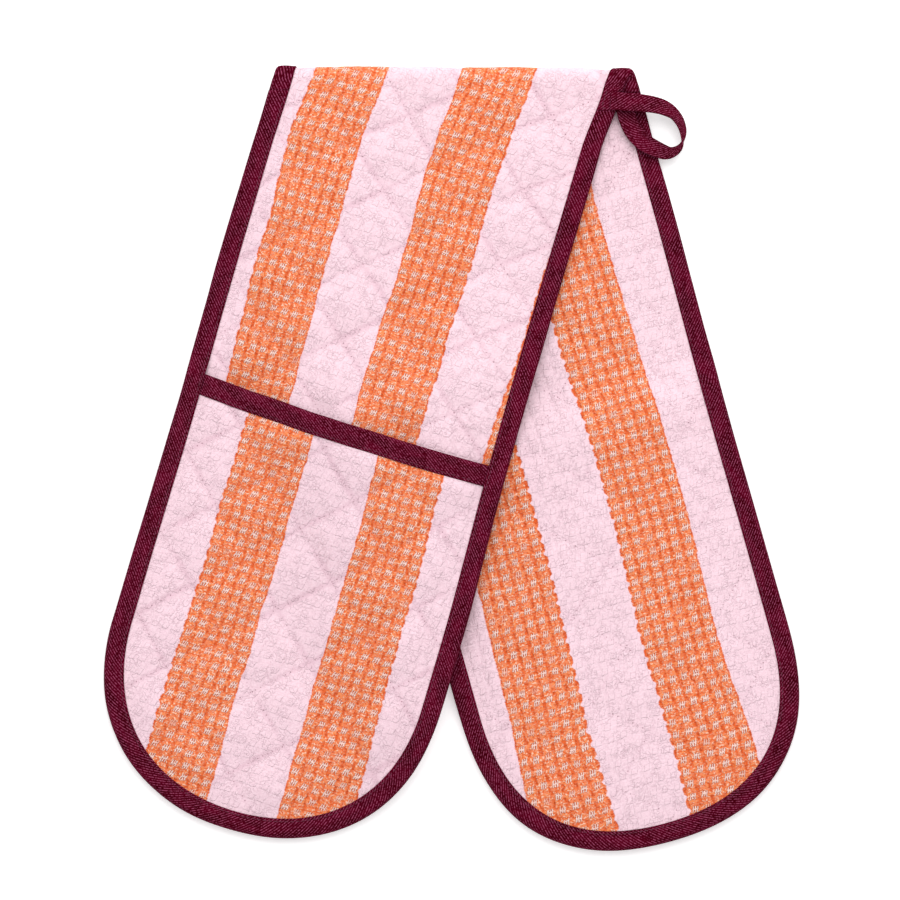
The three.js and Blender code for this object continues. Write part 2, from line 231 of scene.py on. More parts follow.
def level(half, s, t):
    """The height of the middle of the cloth. The bound edge stays level across its width."""
    past = np.maximum(0, s - half.length)
    inward = np.minimum(1, FLANGE_RADIUS / np.maximum(1, np.hypot(past, t)))
    inside_s, inside_t = s - past + past * inward, t * inward
    if half.side < 0:
        return back_level(inside_s, inside_t)
    return front_level(*folded_xy(half, inside_s, inside_t))


def fold_shift(q, t):
    """How far a point of the fold lies to the right of its place on a straight strip."""
    bulge = np.maximum(0, np.cos(q / BEND_RADIUS)) * (np.abs(q) < BEND_LENGTH / 2)
    return mix(1.2 + 1.8 * t / HALF_WIDTH, -0.6, smooth(q, -6, 6)) + 0.5 * bulge


def laid_shift(half, s, t):
    """How far the cloth, as it was laid down, lies from a straight strip with a round end. The
    padding makes the end squarer."""
    past = np.maximum(s - half.length, 0)
    corner = np.cos(4 * np.arctan2(np.abs(t), past))
    fuller = (half.full - half.square * corner) / HALF_WIDTH
    near_end = smooth(s, 200, 300)
    if half.side > 0:
        narrower, settling = -0.01, 32
        aside = 0.3 * near_end - 2.1 * (1 - smooth(s, 110, 290))
    else:
        narrower, settling = 0.0, 45
        aside = 1.1 + 1.6 * (1 - smooth(s, 90, 220))
    wider = mix(narrower, fuller, near_end)
    right = aside + t * wider * COS - past * fuller * half.side * SIN
    up = 3.2 * smooth(s, 20, 330) - t * wider * half.side * SIN - past * fuller * COS
    near_fold = 1 - smooth(s - cut_line(half, t), 0, settling)
    return mix(right, fold_shift(half.side * CUT, t), near_fold), up * (1 - near_fold)


def place(half, s, t, h, lowest=TABLE_GAP):
    """A flat point's place on the table."""
    s, t, h = np.broadcast_arrays(*[np.asarray(value, float) for value in (s, t, h)])
    x, y = folded_xy(half, s, t)
    right, up = laid_shift(half, s, t)
    z = np.maximum(level(half, s, t) + half.side * h, lowest)
    return np.stack([x + right, y + up, z], axis=-1)


def place_fold(q, t, h):
    """A point of the fold itself. q is the distance from the fold line, negative on the back half."""
    q, t, h = np.broadcast_arrays(*[np.asarray(value, float) for value in (q, t, h)])
    in_bend = np.clip(q, -BEND_LENGTH / 2, BEND_LENGTH / 2)
    angle = in_bend / BEND_RADIUS
    radius = BEND_RADIUS + h
    x = -from_fold(q, t) * SIN + t * COS + fold_shift(q, t)
    y = radius * np.cos(angle) + 1.7 * np.cos(angle) ** 2 - (np.abs(q) - np.abs(in_bend))
    return np.stack([x, y, AXIS_LEVEL + radius * np.sin(angle)], axis=-1)


def from_fold(q, t):
    """The distance along the strip, as the front half counts it. The back half counts the other way."""
    return (q - t * SIN) / COS


# The cloths


def warp(half, s, t):
    """How far the cloth's pattern has shifted across the strip."""
    if half.side < 0:
        return (
            0.5 * noise(t / 45, s / 32, 20)
            + 2.2 * smooth(s, 165, 215) * (1 - smooth(s, 250, 330))
            - 1.5 * smooth(s, 60, 90) * (1 - smooth(s, 120, 175))
        )
    turned = (2.05 + 0.019 * np.minimum(t, 5)) * (1 - smooth(s * COS + t * SIN, 20, 44))
    near_fold = 3.4 * (1 - smooth(s, 2, 62)) - turned * (1 - smooth(t, 45, 72))
    near_mouth = -0.03 * (t + 15) * smooth(s, 110, 195) * (1 - smooth(s, 200, 215))
    beyond = (0.6 - 0.012 * t) * smooth(s, 60, 100)
    beyond = beyond + 2.0 * smooth(t, 52, 76) * (1 - smooth(s, 120, 240))
    small = 0.6 * noise(t / 45, s / 32, 22) + 0.6 * noise(t / 22, s / 17, 23)
    return near_fold + near_mouth + beyond + small


@dataclass(eq=False)
class Cloth:
    """A printed face: where its stripes start, its waffle cells, and its quilting diamonds."""

    name: str
    start: float
    pitch: float
    row: float
    flip: int
    scallop: float
    diamond: tuple
    cross: tuple
    puff: float
    simulated: object = None


STRIP_A = Cloth("strip_face", -71.7, 6.24, 7.8, 0, 0.1, (23.8, 20.9), (-15.6, 153.8), 2.0)
POCKET_A = Cloth("pocket_face", -53.6, 6.24, 6.7, 0, 0.12, (23.8, 22.6), (-32.4, 235.9), 2.1)
STRIP_B = Cloth("backing_face", -64.9, 6.56, 6.9, 1, 0.2, (23.8, 23.2), (28.2, 299.1), 1.0)
CELLS_IN_PAIR = 12
PRESSED = 0.35
SIMULATED_PART = 0.55


def lattice(cloth, s, t):
    """How far a point is across the two families of quilting lines, which lie at whole numbers."""
    u, v = (t - cloth.cross[0]) / cloth.diamond[0], (s - cloth.cross[1]) / cloth.diamond[1]
    return (u + v) / 2, (u - v) / 2


def line_spacing(cloth):
    across, along = cloth.diamond
    return 2 / hypot(1 / across, 1 / along)


def quilting(cloth, s, t):
    """The puff between the quilting lines, from 0 on a line to 1 in the middle of a diamond."""
    a, b = lattice(cloth, s, t)
    rise = np.abs(np.sin(pi * a)) * np.abs(np.sin(pi * b))
    return np.sqrt(rise * rise + 0.0004) ** 0.5


def off_line(cloth, place_across):
    """The distance from the nearest quilting line of one family."""
    return np.abs(place_across - np.round(place_across)) * line_spacing(cloth)


def puckers(cloth, s, t):
    """Small wrinkles that run out from the quilting lines, where the thread gathers the cloth."""
    a, b = lattice(cloth, s, t)
    spacing = line_spacing(cloth)
    total = 0.0
    for near, along, seed in ((a, b, 61), (b, a, 62)):
        wrinkle = noise(along * spacing / 4.6, near * spacing / 15, seed)
        total = total + np.exp(-((off_line(cloth, near) / 7.0) ** 2)) * wrinkle
    return total


def crease_shade_part(cloth, s, t):
    """How much painted shade falls along the quilting lines, where the cloth is drawn in: 1 on a line,
    and 0 away from them.
    """
    a, b = lattice(cloth, s, t)
    off = np.minimum(off_line(cloth, a), off_line(cloth, b))
    return np.clip(1 - smooth(off, 0, 3.4), 0, 1) * (0.65 + 0.35 * noise(t / 13, s / 12, 63))


def puffed_shape(cloth, s, t):
    shape = quilting(cloth, s, t)
    if cloth.simulated is None:
        return shape
    return mix(shape, cloth.simulated.height(s, t), SIMULATED_PART)


def in_stripe(cloth, t):
    place_in_pair = fract((t - cloth.start) / cloth.pitch / CELLS_IN_PAIR) * CELLS_IN_PAIR
    return (place_in_pair < 6.02) & (place_in_pair > -0.02)


def weave(cloth, s, t):
    """The waffle cells' relief: grooves between the columns, and floats across the rows."""
    column = np.abs(2 * fract((t - cloth.start) / cloth.pitch) - 1)
    row = np.abs(2 * fract(s / cloth.row) - 1)
    ridge = smooth(1 - column, 0, 0.6)
    float_group = smooth(row, 0.7, 1.0) * smooth(1 - column, 0.2, 0.7)
    strength = np.where(in_stripe(cloth, t), 1.0, 0.45)
    crinkle = noise(t / 2.7, s / 3.3, 5) * 0.06 + noise(t / 6.5, s / 7.5, 6) * 0.1
    return strength * (0.28 * ridge + 0.12 * float_group) - 0.2 + crinkle


def relief(cloth, half, s, t, pressed):
    """What the quilting and the weave add to a face's smooth height. pressed is 1 on a face that
    lies on something, and 0 on a free one."""
    own = t - warp(half, s, t)
    open_cloth = smooth(edge_distance(half, s, t), BINDING_WIDTH - 0.5, BINDING_WIDTH + 7)
    swell = noise(t / 31, s / 37, 11) * 0.25
    quilted = cloth.puff * puffed_shape(cloth, s, own) + 0.18 * puckers(cloth, s, own) + swell
    total = open_part(half, s, t) * quilted + open_cloth * weave(cloth, s, own)
    return total * mix(1, PRESSED, pressed)


def add_object(name, data):
    made = bpy.data.objects.new(name, data)
    bpy.context.scene.collection.objects.link(made)
    return made


class Quilted:
    """A cloth held along its quilting lines and blown up a little by the wadding, as a height over
    the flat place. Its points lie on a grid along the two families of lines."""

    STEPS = 10
    FRAMES = 18
    SCALE = 0.01
    CLOTH = {
        "vertex_group_mass": "held",
        "quality": 6,
        "tension_stiffness": 15,
        "compression_stiffness": 15,
        "shear_stiffness": 5,
        "bending_stiffness": 2.0,
        "shrink_min": -0.03,
        "use_pressure": True,
        "uniform_pressure_force": 2.5,
    }

    def __init__(self, cloth, low, high, half_width):
        self.cloth = cloth
        u = [(side * half_width - cloth.cross[0]) / cloth.diamond[0] for side in (-1, 1)]
        v = [(end - cloth.cross[1]) / cloth.diamond[1] for end in (low, high)]
        self.first = (floor((u[0] + v[0]) / 2), floor((u[0] - v[1]) / 2))
        last = (ceil((u[1] + v[1]) / 2), ceil((u[1] - v[0]) / 2))
        counts = [(b - a) * self.STEPS + 1 for a, b in zip(self.first, last)]
        i, j = np.meshgrid(*[np.arange(count) for count in counts], indexing="ij")
        a, b = self.first[0] + i / self.STEPS, self.first[1] + j / self.STEPS
        t = cloth.cross[0] + (a + b) * cloth.diamond[0]
        s = cloth.cross[1] + (a - b) * cloth.diamond[1]
        used = (np.abs(t) < half_width + 4) & (s > low - 4) & (s < high + 4)
        held = ((i % self.STEPS == 0) | (j % self.STEPS == 0))[used]
        start = np.stack([t[used], s[used], 0.15 * noise(t / 5, s / 5, 71)[used]], axis=1)
        number = np.full(counts, -1)
        number[used] = np.arange(len(start))
        corners = [number[:-1, :-1], number[1:, :-1], number[1:, 1:], number[:-1, 1:]]
        quads = np.stack(corners, axis=-1).reshape(-1, 4)
        quads = quads[(quads >= 0).all(axis=1)]
        grid = np.zeros(counts)
        grid[used] = self.blown_up(start, quads, np.flatnonzero(held).tolist())
        for axis in (0, 1):
            grid = (np.roll(grid, 1, axis) + 2 * grid + np.roll(grid, -1, axis)) / 4
        self.grid = np.clip(grid / np.percentile(grid[used], 96), -0.05, 1.25)

    def blown_up(self, start, quads, held):
        """The points' heights after the simulation."""
        mesh = bpy.data.meshes.new("quilted")
        mesh.from_pydata((start * self.SCALE).tolist(), [], quads.tolist())
        mesh.update()
        if mesh.polygons[0].normal.z < 0:
            mesh.flip_normals()
        piece = add_object("quilted", mesh)
        piece.vertex_groups.new(name="held").add(held, 1.0, "REPLACE")
        modifier = piece.modifiers.new("cloth", "CLOTH")
        for name, value in self.CLOTH.items():
            setattr(modifier.settings, name, value)
        modifier.settings.effector_weights.gravity = 0
        modifier.point_cache.frame_start = 1
        modifier.point_cache.frame_end = self.FRAMES
        scene = bpy.context.scene
        for moment in range(1, self.FRAMES + 1):
            scene.frame_set(moment)
        made = piece.evaluated_get(bpy.context.evaluated_depsgraph_get()).data
        places = np.empty(len(start) * 3, np.float32)
        made.vertices.foreach_get("co", places)
        scene.frame_set(1)
        bpy.data.objects.remove(piece)
        bpy.data.meshes.remove(mesh)
        return np.clip(places.reshape(-1, 3)[:, 2] / self.SCALE, -0.5, 4.0)

    def height(self, s, t):
        """0 on the quilting lines and about 1 in the middle of a diamond."""
        a, b = lattice(self.cloth, s, t)
        a, b = (a - self.first[0]) * self.STEPS, (b - self.first[1]) * self.STEPS
        rows, columns = self.grid.shape
        i = np.clip(np.floor(a).astype(int), 0, rows - 2)
        j = np.clip(np.floor(b).astype(int), 0, columns - 2)
        along, across = smooth(a - i, 0, 1), smooth(b - j, 0, 1)
        near = mix(self.grid[i, j], self.grid[i + 1, j], along)
        far = mix(self.grid[i, j + 1], self.grid[i + 1, j + 1], along)
        return mix(near, far, across)


for cloth in (STRIP_A, POCKET_A, STRIP_B):
    cloth.simulated = Quilted(cloth, 190 if cloth is POCKET_A else -15, 430, 92)

# Meshes


def facing_out(points, faces):
    """The faces of a closed mesh, turned if they face inwards."""
    corners = np.array([(f[0], f[k], f[k + 1]) for f in faces for k in range(1, len(f) - 1)])
    a, b, c = (points[corners[:, k]] for k in range(3))
    inwards = np.einsum("ij,ij->", a, np.cross(b, c)) < 0
    return [face[::-1] for face in faces] if inwards else faces


def make_object(name, points, faces, flat, material, walls=0, normals=None):
    """A mesh object in the frame. flat holds each point's place on the flat cloth or tape.
    The last faces, as many as walls, are shaded flat, so that the edges beside them stay crisp."""
    mesh = bpy.data.meshes.new(name)
    points = np.asarray(points, float)
    places = (points + [FOLD_X, FOLD_Y, 0]) * MM
    faces = facing_out(points - points.mean(axis=0), faces)
    mesh.from_pydata(places.tolist(), [], faces)
    mesh.update()
    layer = mesh.attributes.new("flat", "FLOAT_VECTOR", "POINT")
    full = np.zeros((len(points), 3), np.float32)
    full[:, : flat.shape[1]] = flat
    layer.data.foreach_set("vector", full.ravel())
    rounded = len(faces) - walls
    mesh.polygons.foreach_set("use_smooth", [True] * rounded + [False] * walls)
    if normals is not None:
        corners = [index for face in faces[:rounded] for index in face]
        own = np.zeros((len(mesh.loops), 3))
        own[: len(corners)] = normals[corners]
        mesh.normals_split_custom_set(own.tolist())
    mesh.materials.append(material)
    return add_object(name, mesh)


def zip_columns(first, second):
    """Faces between two neighbouring columns of points, each a list of (row number, index)."""
    faces = []
    i = j = 0
    while i < len(first) - 1 or j < len(second) - 1:
        low_left, low_right = first[i][1], second[j][1]
        next_left = first[i + 1][0] if i < len(first) - 1 else inf
        next_right = second[j + 1][0] if j < len(second) - 1 else inf
        if abs(next_left - next_right) < 0.51:
            faces.append((low_left, low_right, second[j + 1][1], first[i + 1][1]))
            i, j = i + 1, j + 1
        elif next_left < next_right:
            faces.append((low_left, low_right, first[i + 1][1]))
            i += 1
        else:
            faces.append((low_left, low_right, second[j + 1][1]))
            j += 1
    return faces


def clipped_grid(half, columns, start, radius, step):
    """Flat points and faces in straight columns, from the line start to the half's round end."""
    s_list, t_list, faces, previous = [], [], [], None
    for t in columns:
        low, high = float(start(half, t)) / step, float(end_line(half, t, radius)) / step
        numbers = [low, *np.arange(ceil(low + 0.35), floor(high - 0.35) + 1).tolist(), high]
        column = [(number, len(s_list) + k) for k, number in enumerate(numbers)]
        s_list += [number * step for number in numbers]
        t_list += [t] * len(numbers)
        if previous is not None:
            faces += zip_columns(previous, column)
        previous = column
    return np.array(s_list), np.array(t_list), faces


def boundary_edges(faces):
    """The edges that only one face has, each in that face's direction."""
    seen = {}
    for face in faces:
        for k, a in enumerate(face):
            b = face[(k + 1) % len(face)]
            key = (min(a, b), max(a, b))
            seen[key] = None if key in seen else (a, b)
    return [edge for edge in seen.values() if edge]


def closed(faces, count):
    """The faces of a surface of count points and of a second one under it, then the walls between
    them, and how many walls there are."""
    walls = [(b, a, a + count, b + count) for a, b in boundary_edges(faces)]
    lower = [tuple(index + count for index in face[::-1]) for face in faces]
    return [*faces, *lower, *walls], len(walls)


def outward(surface, s, t):
    """The surface's own normals, so that pieces of one cloth meet with no seam in the shading."""
    step = 0.5
    along = surface(s + step, t) - surface(s - step, t)
    across = surface(s, t + step) - surface(s, t - step)
    normal = np.cross(along, across)
    return normal / np.linalg.norm(normal, axis=-1, keepdims=True)


def make_sheet(name, top, under, facing, grid, flat, material):
    """A closed cloth between two surfaces, each a function of the flat place. facing is 1 if the
    top looks the way that the flat directions turn, and -1 if it looks the other way."""
    s, t, faces = grid
    every, walls = closed(faces, len(s))
    normals = np.concatenate([outward(top, s, t), -outward(under, s, t)]) * facing
    points = np.concatenate([top(s, t), under(s, t)])
    return make_object(name, points, every, np.tile(flat, (2, 1)), material, walls, normals)


def flat_places(cloth, s, t, shift):
    """What a cloth's material needs at each point: its flat place, and how much painted shade it takes
    along the quilting lines.
    """
    painted_crease_shade = crease_shade_part(cloth, s, t - shift) * cloth.puff / 1.7
    return np.stack([t - shift, s, painted_crease_shade], axis=1)


def grid_faces(high, wide):
    return [
        (j * wide + i, j * wide + i + 1, (j + 1) * wide + i + 1, (j + 1) * wide + i)
        for j in range(high - 1)
        for i in range(wide - 1)
    ]


def make_bar(name, rings, flats, material):
    """A closed bar from rings of points of the same length. Its last two faces are its ends."""
    rings = np.asarray(rings, float)
    count, size = rings.shape[:2]
    faces = []
    for k in range(count - 1):
        for i in range(size):
            j = (i + 1) % size
            faces.append((k * size + i, k * size + j, (k + 1) * size + j, (k + 1) * size + i))
    faces.append(tuple(range(size))[::-1])
    faces.append(tuple(range((count - 1) * size, count * size)))
    return make_object(name, rings.reshape(-1, 3), faces, np.array(flats), material, walls=2)


# Materials


def linear(*colour):
    """An sRGB colour in 0 to 255 as the linear colour that the shaders take."""

    def channel(value):
        value = value / 255
        return value / 12.92 if value <= 0.04045 else ((value + 0.055) / 1.055) ** 2.4

    return (*map(channel, colour), 1.0)


def feed(tree, slot, value):
    """Links a signal or a socket to a node's input, or sets the input to a plain value."""
    if isinstance(value, Signal):
        value = value.socket
    if isinstance(value, bpy.types.NodeSocket):
        tree.links.new(value, slot)
    else:
        slot.default_value = value


def set_inputs(node, values):
    for name, value in values.items():
        node.inputs[name].default_value = value


class Signal:
    """A number over a surface, worked out by nodes."""

    def __init__(self, tree, socket):
        self.tree = tree
        self.socket = socket

    def calculate(self, operation, *others):
        node = self.tree.nodes.new("ShaderNodeMath")
        node.operation = operation
        for slot, value in zip(node.inputs, (self, *others)):
            feed(self.tree, slot, value)
        return Signal(self.tree, node.outputs[0])

    __add__ = __radd__ = partialmethod(calculate, "ADD")
    __sub__ = partialmethod(calculate, "SUBTRACT")
    __mul__ = __rmul__ = partialmethod(calculate, "MULTIPLY")
    __truediv__ = partialmethod(calculate, "DIVIDE")
    fract = partialmethod(calculate, "FRACT")
    floor = partialmethod(calculate, "FLOOR")
    abs = partialmethod(calculate, "ABSOLUTE")
    root = partialmethod(calculate, "SQRT")
    cosine = partialmethod(calculate, "COSINE")
    most = partialmethod(calculate, "MAXIMUM")

    def wave(self):
        """1 at whole numbers and 0 half way between them."""
        return (self * (2 * pi)).cosine() * 0.5 + 0.5

    def inverse(self):
        return self * -1 + 1

    def off_whole(self):
        """How far the number is from the nearest whole one, below or above it."""
        return (self + 0.5).fract() - 0.5

    def smooth(self, low, high):
        node = self.tree.nodes.new("ShaderNodeMapRange")
        node.interpolation_type = "SMOOTHSTEP"
        self.tree.links.new(self.socket, node.inputs["Value"])
        set_inputs(node, {"From Min": low, "From Max": high})
        return Signal(self.tree, node.outputs["Result"])


def random_signal(tree, kind, output, x, y, seed):
    combine = tree.nodes.new("ShaderNodeCombineXYZ")
    for slot, value in zip(combine.inputs, (x, y, seed)):
        feed(tree, slot, value)
    node = tree.nodes.new(kind)
    tree.links.new(combine.outputs[0], node.inputs["Vector"])
    return node, Signal(tree, node.outputs[output])


def grain(tree, x, y, seed, detail=1.0):
    """Noise from 0 to 1 with hills about one unit wide."""
    node, signal = random_signal(tree, "ShaderNodeTexNoise", "Fac", x, y, seed)
    set_inputs(node, {"Scale": 1.0, "Detail": detail})
    return signal


def chance(tree, x, y, seed):
    """A number from 0 to 1 for each pair of whole numbers."""
    return random_signal(tree, "ShaderNodeTexWhiteNoise", "Value", x, y, seed)[1]


def blend_colours(tree, first, *layers, blend_type="MIX"):
    """The first colour with each layer, a colour and how much it shows, laid over it in turn."""
    for colour, part in layers:
        node = tree.nodes.new("ShaderNodeMix")
        node.data_type, node.blend_type = "RGBA", blend_type
        feed(tree, node.inputs["Factor"], part)
        feed(tree, node.inputs[6], first)
        feed(tree, node.inputs[7], colour)
        first = node.outputs[2]
    return first


def new_material(name, roughness, sheen, specular=0.2):
    """A material, its nodes, and the three signals of the mesh's flat attribute."""
    material = bpy.data.materials.new(name)
    material.use_nodes = True
    tree = material.node_tree
    shader = tree.nodes["Principled BSDF"]
    looks = {"Roughness": roughness, "Specular IOR Level": specular}
    set_inputs(shader, {**looks, "Sheen Weight": sheen, "Sheen Roughness": 0.5})
    attribute = tree.nodes.new("ShaderNodeAttribute")
    attribute.attribute_name = "flat"
    parts = tree.nodes.new("ShaderNodeSeparateXYZ")
    tree.links.new(attribute.outputs["Vector"], parts.inputs[0])
    return material, tree, [Signal(tree, output) for output in parts.outputs]


def finish_material(material, colour, height, distance):
    """Gives a material its colour, and a bump a distance high."""
    tree = material.node_tree
    shader, node = tree.nodes["Principled BSDF"], tree.nodes.new("ShaderNodeBump")
    set_inputs(node, {"Strength": 1.0, "Distance": distance * MM})
    feed(tree, node.inputs["Height"], height)
    tree.links.new(node.outputs[0], shader.inputs["Normal"])
    tree.links.new(colour, shader.inputs["Base Color"])
    return material


ORANGE_DARK = linear(204, 76, 30)
ORANGE_DEEP = linear(230, 92, 34)
ORANGE_MID = linear(238, 132, 88)
ORANGE_WARM = linear(242, 140, 84)
ORANGE_LIGHT = linear(255, 196, 168)
FLOAT_PALE = linear(255, 228, 220)
PINK_LIGHT = linear(245, 214, 224)
PINK_MID = linear(238, 204, 215)
PINK_DEEP = linear(216, 176, 190)
HOLE = linear(150, 104, 118)
STITCH = 2.9


def needle_holes(cloth, t, s):
    """Pin-points where the quilting needle went through."""
    across, along = cloth.diamond
    u = (t - cloth.cross[0]) / across
    v = (s - cloth.cross[1]) / along
    holes = None
    for sign in (1, -1):
        off = ((u + v * sign) * 0.5).off_whole().abs() * line_spacing(cloth)
        run = (u - v * sign) * (hypot(across, along) / 2 / STITCH)
        gap = run.off_whole().abs() * STITCH
        near = (off * off + gap * gap).root().smooth(0.5, 0.22)
        holes = near if holes is None else holes.most(near)
    return holes


def waffle_material(cloth):
    """Striped waffle-weave cotton. The stripes' outer borders are scalloped by their cells."""
    material, tree, (t, s, painted_crease_shade) = new_material(f"waffle_{cloth.name}", 0.92, 0.12)

    def spots(wide, high, seed, detail=1.0):
        return grain(tree, t / wide, s / high, seed, detail)

    column = (t + (spots(11, 11, 1) - 0.5) * 1.1 - cloth.start) / cloth.pitch
    row = (s + (spots(9, 13, 2) - 0.5) * 1.6) / cloth.row
    cell_row = (row + 0.5).floor()
    luck = chance(tree, column.floor(), cell_row, 3)
    other_luck = chance(tree, column.floor() + 40, cell_row, 5)

    pair = ((column + (3 + 12 * cloth.flip)) / 24).fract() * 24 - 3
    scallop = row.off_whole().abs().smooth(0.02, 0.3) * cloth.scallop - cloth.scallop * 0.4
    fringe = (spots(1.1, 0.8, 4, 2) - 0.5) * 0.22 + (spots(6, 4, 15) - 0.5) * 0.22
    soft = 0.05
    edge = pair + fringe
    first = (pair + scallop + fringe).smooth(-soft, soft) * edge.smooth(6 + soft, 6 - soft)
    last = (pair - scallop + fringe).smooth(18 + soft, 18 - soft)
    orange = first.most(edge.smooth(12 - soft, 12 + soft) * last)

    side_place = (column.fract() - 0.5) * cloth.pitch
    row_place = row.off_whole() * cloth.row
    wobble = (spots(1.6, 1.4, 10, 2) - 0.5) * 1.3
    side_in_tuft = side_place + row_place * 0.3 + (luck - 0.5) * 0.8 + wobble
    row_in_tuft = row_place + (other_luck - 0.5) * 0.8 + wobble
    ragged = (spots(0.9, 0.9, 16) - 0.5) * 1.4
    strokes = (side_in_tuft / 1.15 + ragged * 0.35).wave().smooth(0.2, 0.75)
    box = (side_in_tuft + ragged * 0.5).abs().smooth(1.8, 1.3)
    box = box * (row_in_tuft + ragged).abs().smooth(1.8, 1.4)
    bar = (row_in_tuft + (other_luck - 0.5) * 1.2).abs().smooth(0.55, 0.3) * 0.8
    floats = box * strokes.most(bar) * (luck * 0.5 + other_luck * 0.5).smooth(-0.2, 0.5)
    gaps = box * strokes.inverse() * bar.inverse()

    groove = (side_place.abs() + wobble * 0.4).smooth(2.1, 2.7)
    groove = groove * row_in_tuft.abs().smooth(0.7, 1.9) * (other_luck * 0.6 + 0.5)
    fleck = spots(1.3, 1.0, 5, 2).smooth(0.52, 0.6)
    pit = spots(1.3, 1.2, 6, 2).smooth(0.52, 0.6)
    warm = blend_colours(
        tree,
        ORANGE_MID,
        (ORANGE_WARM, spots(3.5, 1.8, 17, 2).smooth(0.45, 0.65)),
        (ORANGE_LIGHT, fleck),
        (ORANGE_DEEP, pit * 0.8),
        (ORANGE_DEEP, groove * 0.9),
        (ORANGE_DARK, (groove * pit * 0.8).most(gaps * 0.55)),
        (FLOAT_PALE, floats * 0.88),
        # Painted shade along the quilting lines.
        (ORANGE_DEEP, painted_crease_shade.smooth(0.3, 1.0) * 0.25),
    )

    ripple = (spots(2.4, 2.1, 12, 2) - 0.5).abs().smooth(0.035, 0.005)
    ripple = ripple * spots(7, 7, 13).smooth(0.35, 0.6)
    weft = spots(1.3, 0.9, 8, 2)
    pricks = chance(tree, (t / 2.0).floor(), (s / 2.0).floor(), 14).smooth(0.1, 1.0)
    pale = blend_colours(
        tree,
        PINK_LIGHT,
        (PINK_MID, weft.smooth(0.38, 0.62)),
        (PINK_DEEP, ripple * 0.3 + groove * 0.06),
        # Painted shade along the quilting lines.
        (PINK_DEEP, painted_crease_shade.smooth(0.15, 0.9) * 0.45),
        (HOLE, needle_holes(cloth, t, s) * pricks * 0.75),
    )
    worn = spots(16, 16, 7, 2).smooth(0.35, 0.75) * 0.25
    shade = blend_colours(tree, (1, 1, 1, 1), ((0.9, 0.88, 0.88, 1), worn))
    colour = blend_colours(tree, pale, (warm, orange))
    colour = blend_colours(tree, colour, (shade, 1.0), blend_type="MULTIPLY")

    warm_height = floats * 1.2 + fleck * 0.5 - groove * 0.9 - pit * 0.5 - gaps * 0.6
    pale_height = ripple * -0.5 + weft * 0.5 + box * 0.9 - groove * 0.7
    height = warm_height * orange + pale_height * orange.inverse()
    return finish_material(material, colour, height, 0.3)


def tape_material():
    """Plum twill tape with fine diagonal ribs, and a painted highlight where the ribs catch the light.
    """
    material, tree, (along, across, _) = new_material("twill_tape", 0.8, 0.0, 0.0)
    ribs = ((along * 0.75 + across) / 1.55).wave()
    fibre = grain(tree, along / 1.1, across / 0.8, 2, 2)
    worn = grain(tree, along / 14, across / 6, 3, 2)
    # The glint is a painted highlight on the ribs, laid into the base colour.
    glint = ribs.smooth(0.45, 0.95) * fibre.smooth(0.4, 0.6)
    layers = (linear(84, 2, 26), worn.smooth(0.3, 0.7)), (linear(168, 78, 112), glint * 0.72)
    colour = blend_colours(tree, linear(58, 0, 8), *layers)
    return finish_material(material, colour, ribs * 0.8 + fibre * 0.5, 0.12)


def plain_material(name, low, high, size):
    """Cotton of one colour with a fine grain."""
    material, tree, (t, s, _) = new_material(name, 0.95, 0.1)
    fuzz = grain(tree, t / size, s / size, 2, 3)
    colour = blend_colours(tree, low, (high, fuzz.smooth(0.3, 0.7)))
    return finish_material(material, colour, fuzz, 0.3)


WAFFLE = {cloth.name: waffle_material(cloth) for cloth in (STRIP_A, POCKET_A, STRIP_B)}
TWILL = tape_material()
WADDING = plain_material("needled_wadding", linear(226, 220, 208), linear(247, 244, 238), 1.4)
LINING = plain_material("lining_cotton", linear(228, 192, 202), linear(248, 218, 228), 0.7)
PLUM_THREAD = plain_material("plum_thread", linear(84, 18, 38), linear(128, 56, 82), 0.4)

# The strip's covers and wadding

WADDING_RADIUS = CLOTH_RADIUS - 0.6


def settle(piece, body, slot, *nodes):
    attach(piece, body)
    dress(piece, slot, *nodes)


def dress(piece, slot, *nodes):
    if nodes:
        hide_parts(*nodes)


def cell_columns(cloth, parts, low=-CLOTH_RADIUS, high=CLOTH_RADIUS):
    """Column places that fall on the cells' grooves, and on the ends."""
    step = cloth.pitch / parts
    first = ceil((low - cloth.start) / step + 0.4)
    last = floor((high - cloth.start) / step - 0.4)
    return np.array([low, *[cloth.start + step * k for k in range(first, last + 1)], high])


def cut_area(half, low, radius, share=1.0):
    """The flat area in square metres of a rounded panel that starts a distance low from the fold."""
    return share * (2 * radius * (half.length - low) + pi * radius**2 / 2) * MM * MM


def strip_cover(half, sign, cloth, rows):
    """One cover of a half, on the A face if sign is 1. Its outside has the quilting and the weave."""
    grid = clipped_grid(half, cell_columns(cloth, 4), cut_line, CLOTH_RADIUS, cloth.row / rows)
    s, t, _ = grid
    pressed = 1.0 if sign * half.side < 0 else 0.0

    def outside(s, t, below=0.0):
        height = body_height(half, s, t) + relief(cloth, half, s, t, pressed)
        return place(half, s, t, sign * (height - below), TABLE_GAP + 0.8 * below)

    def inside(s, t):
        return outside(s, t, COVER)

    kind = "outer" if sign > 0 else "backing"
    flat = flat_places(cloth, s, t, warp(half, s, t))
    name, looks = f"{half.name}_{kind}_cloth", WAFFLE[cloth.name]
    piece = make_sheet(name, outside, inside, sign * half.side, grid, flat, looks)
    settle(piece, half.body, "woven_cover", f"{half.name}_{kind}_cover")
    return piece


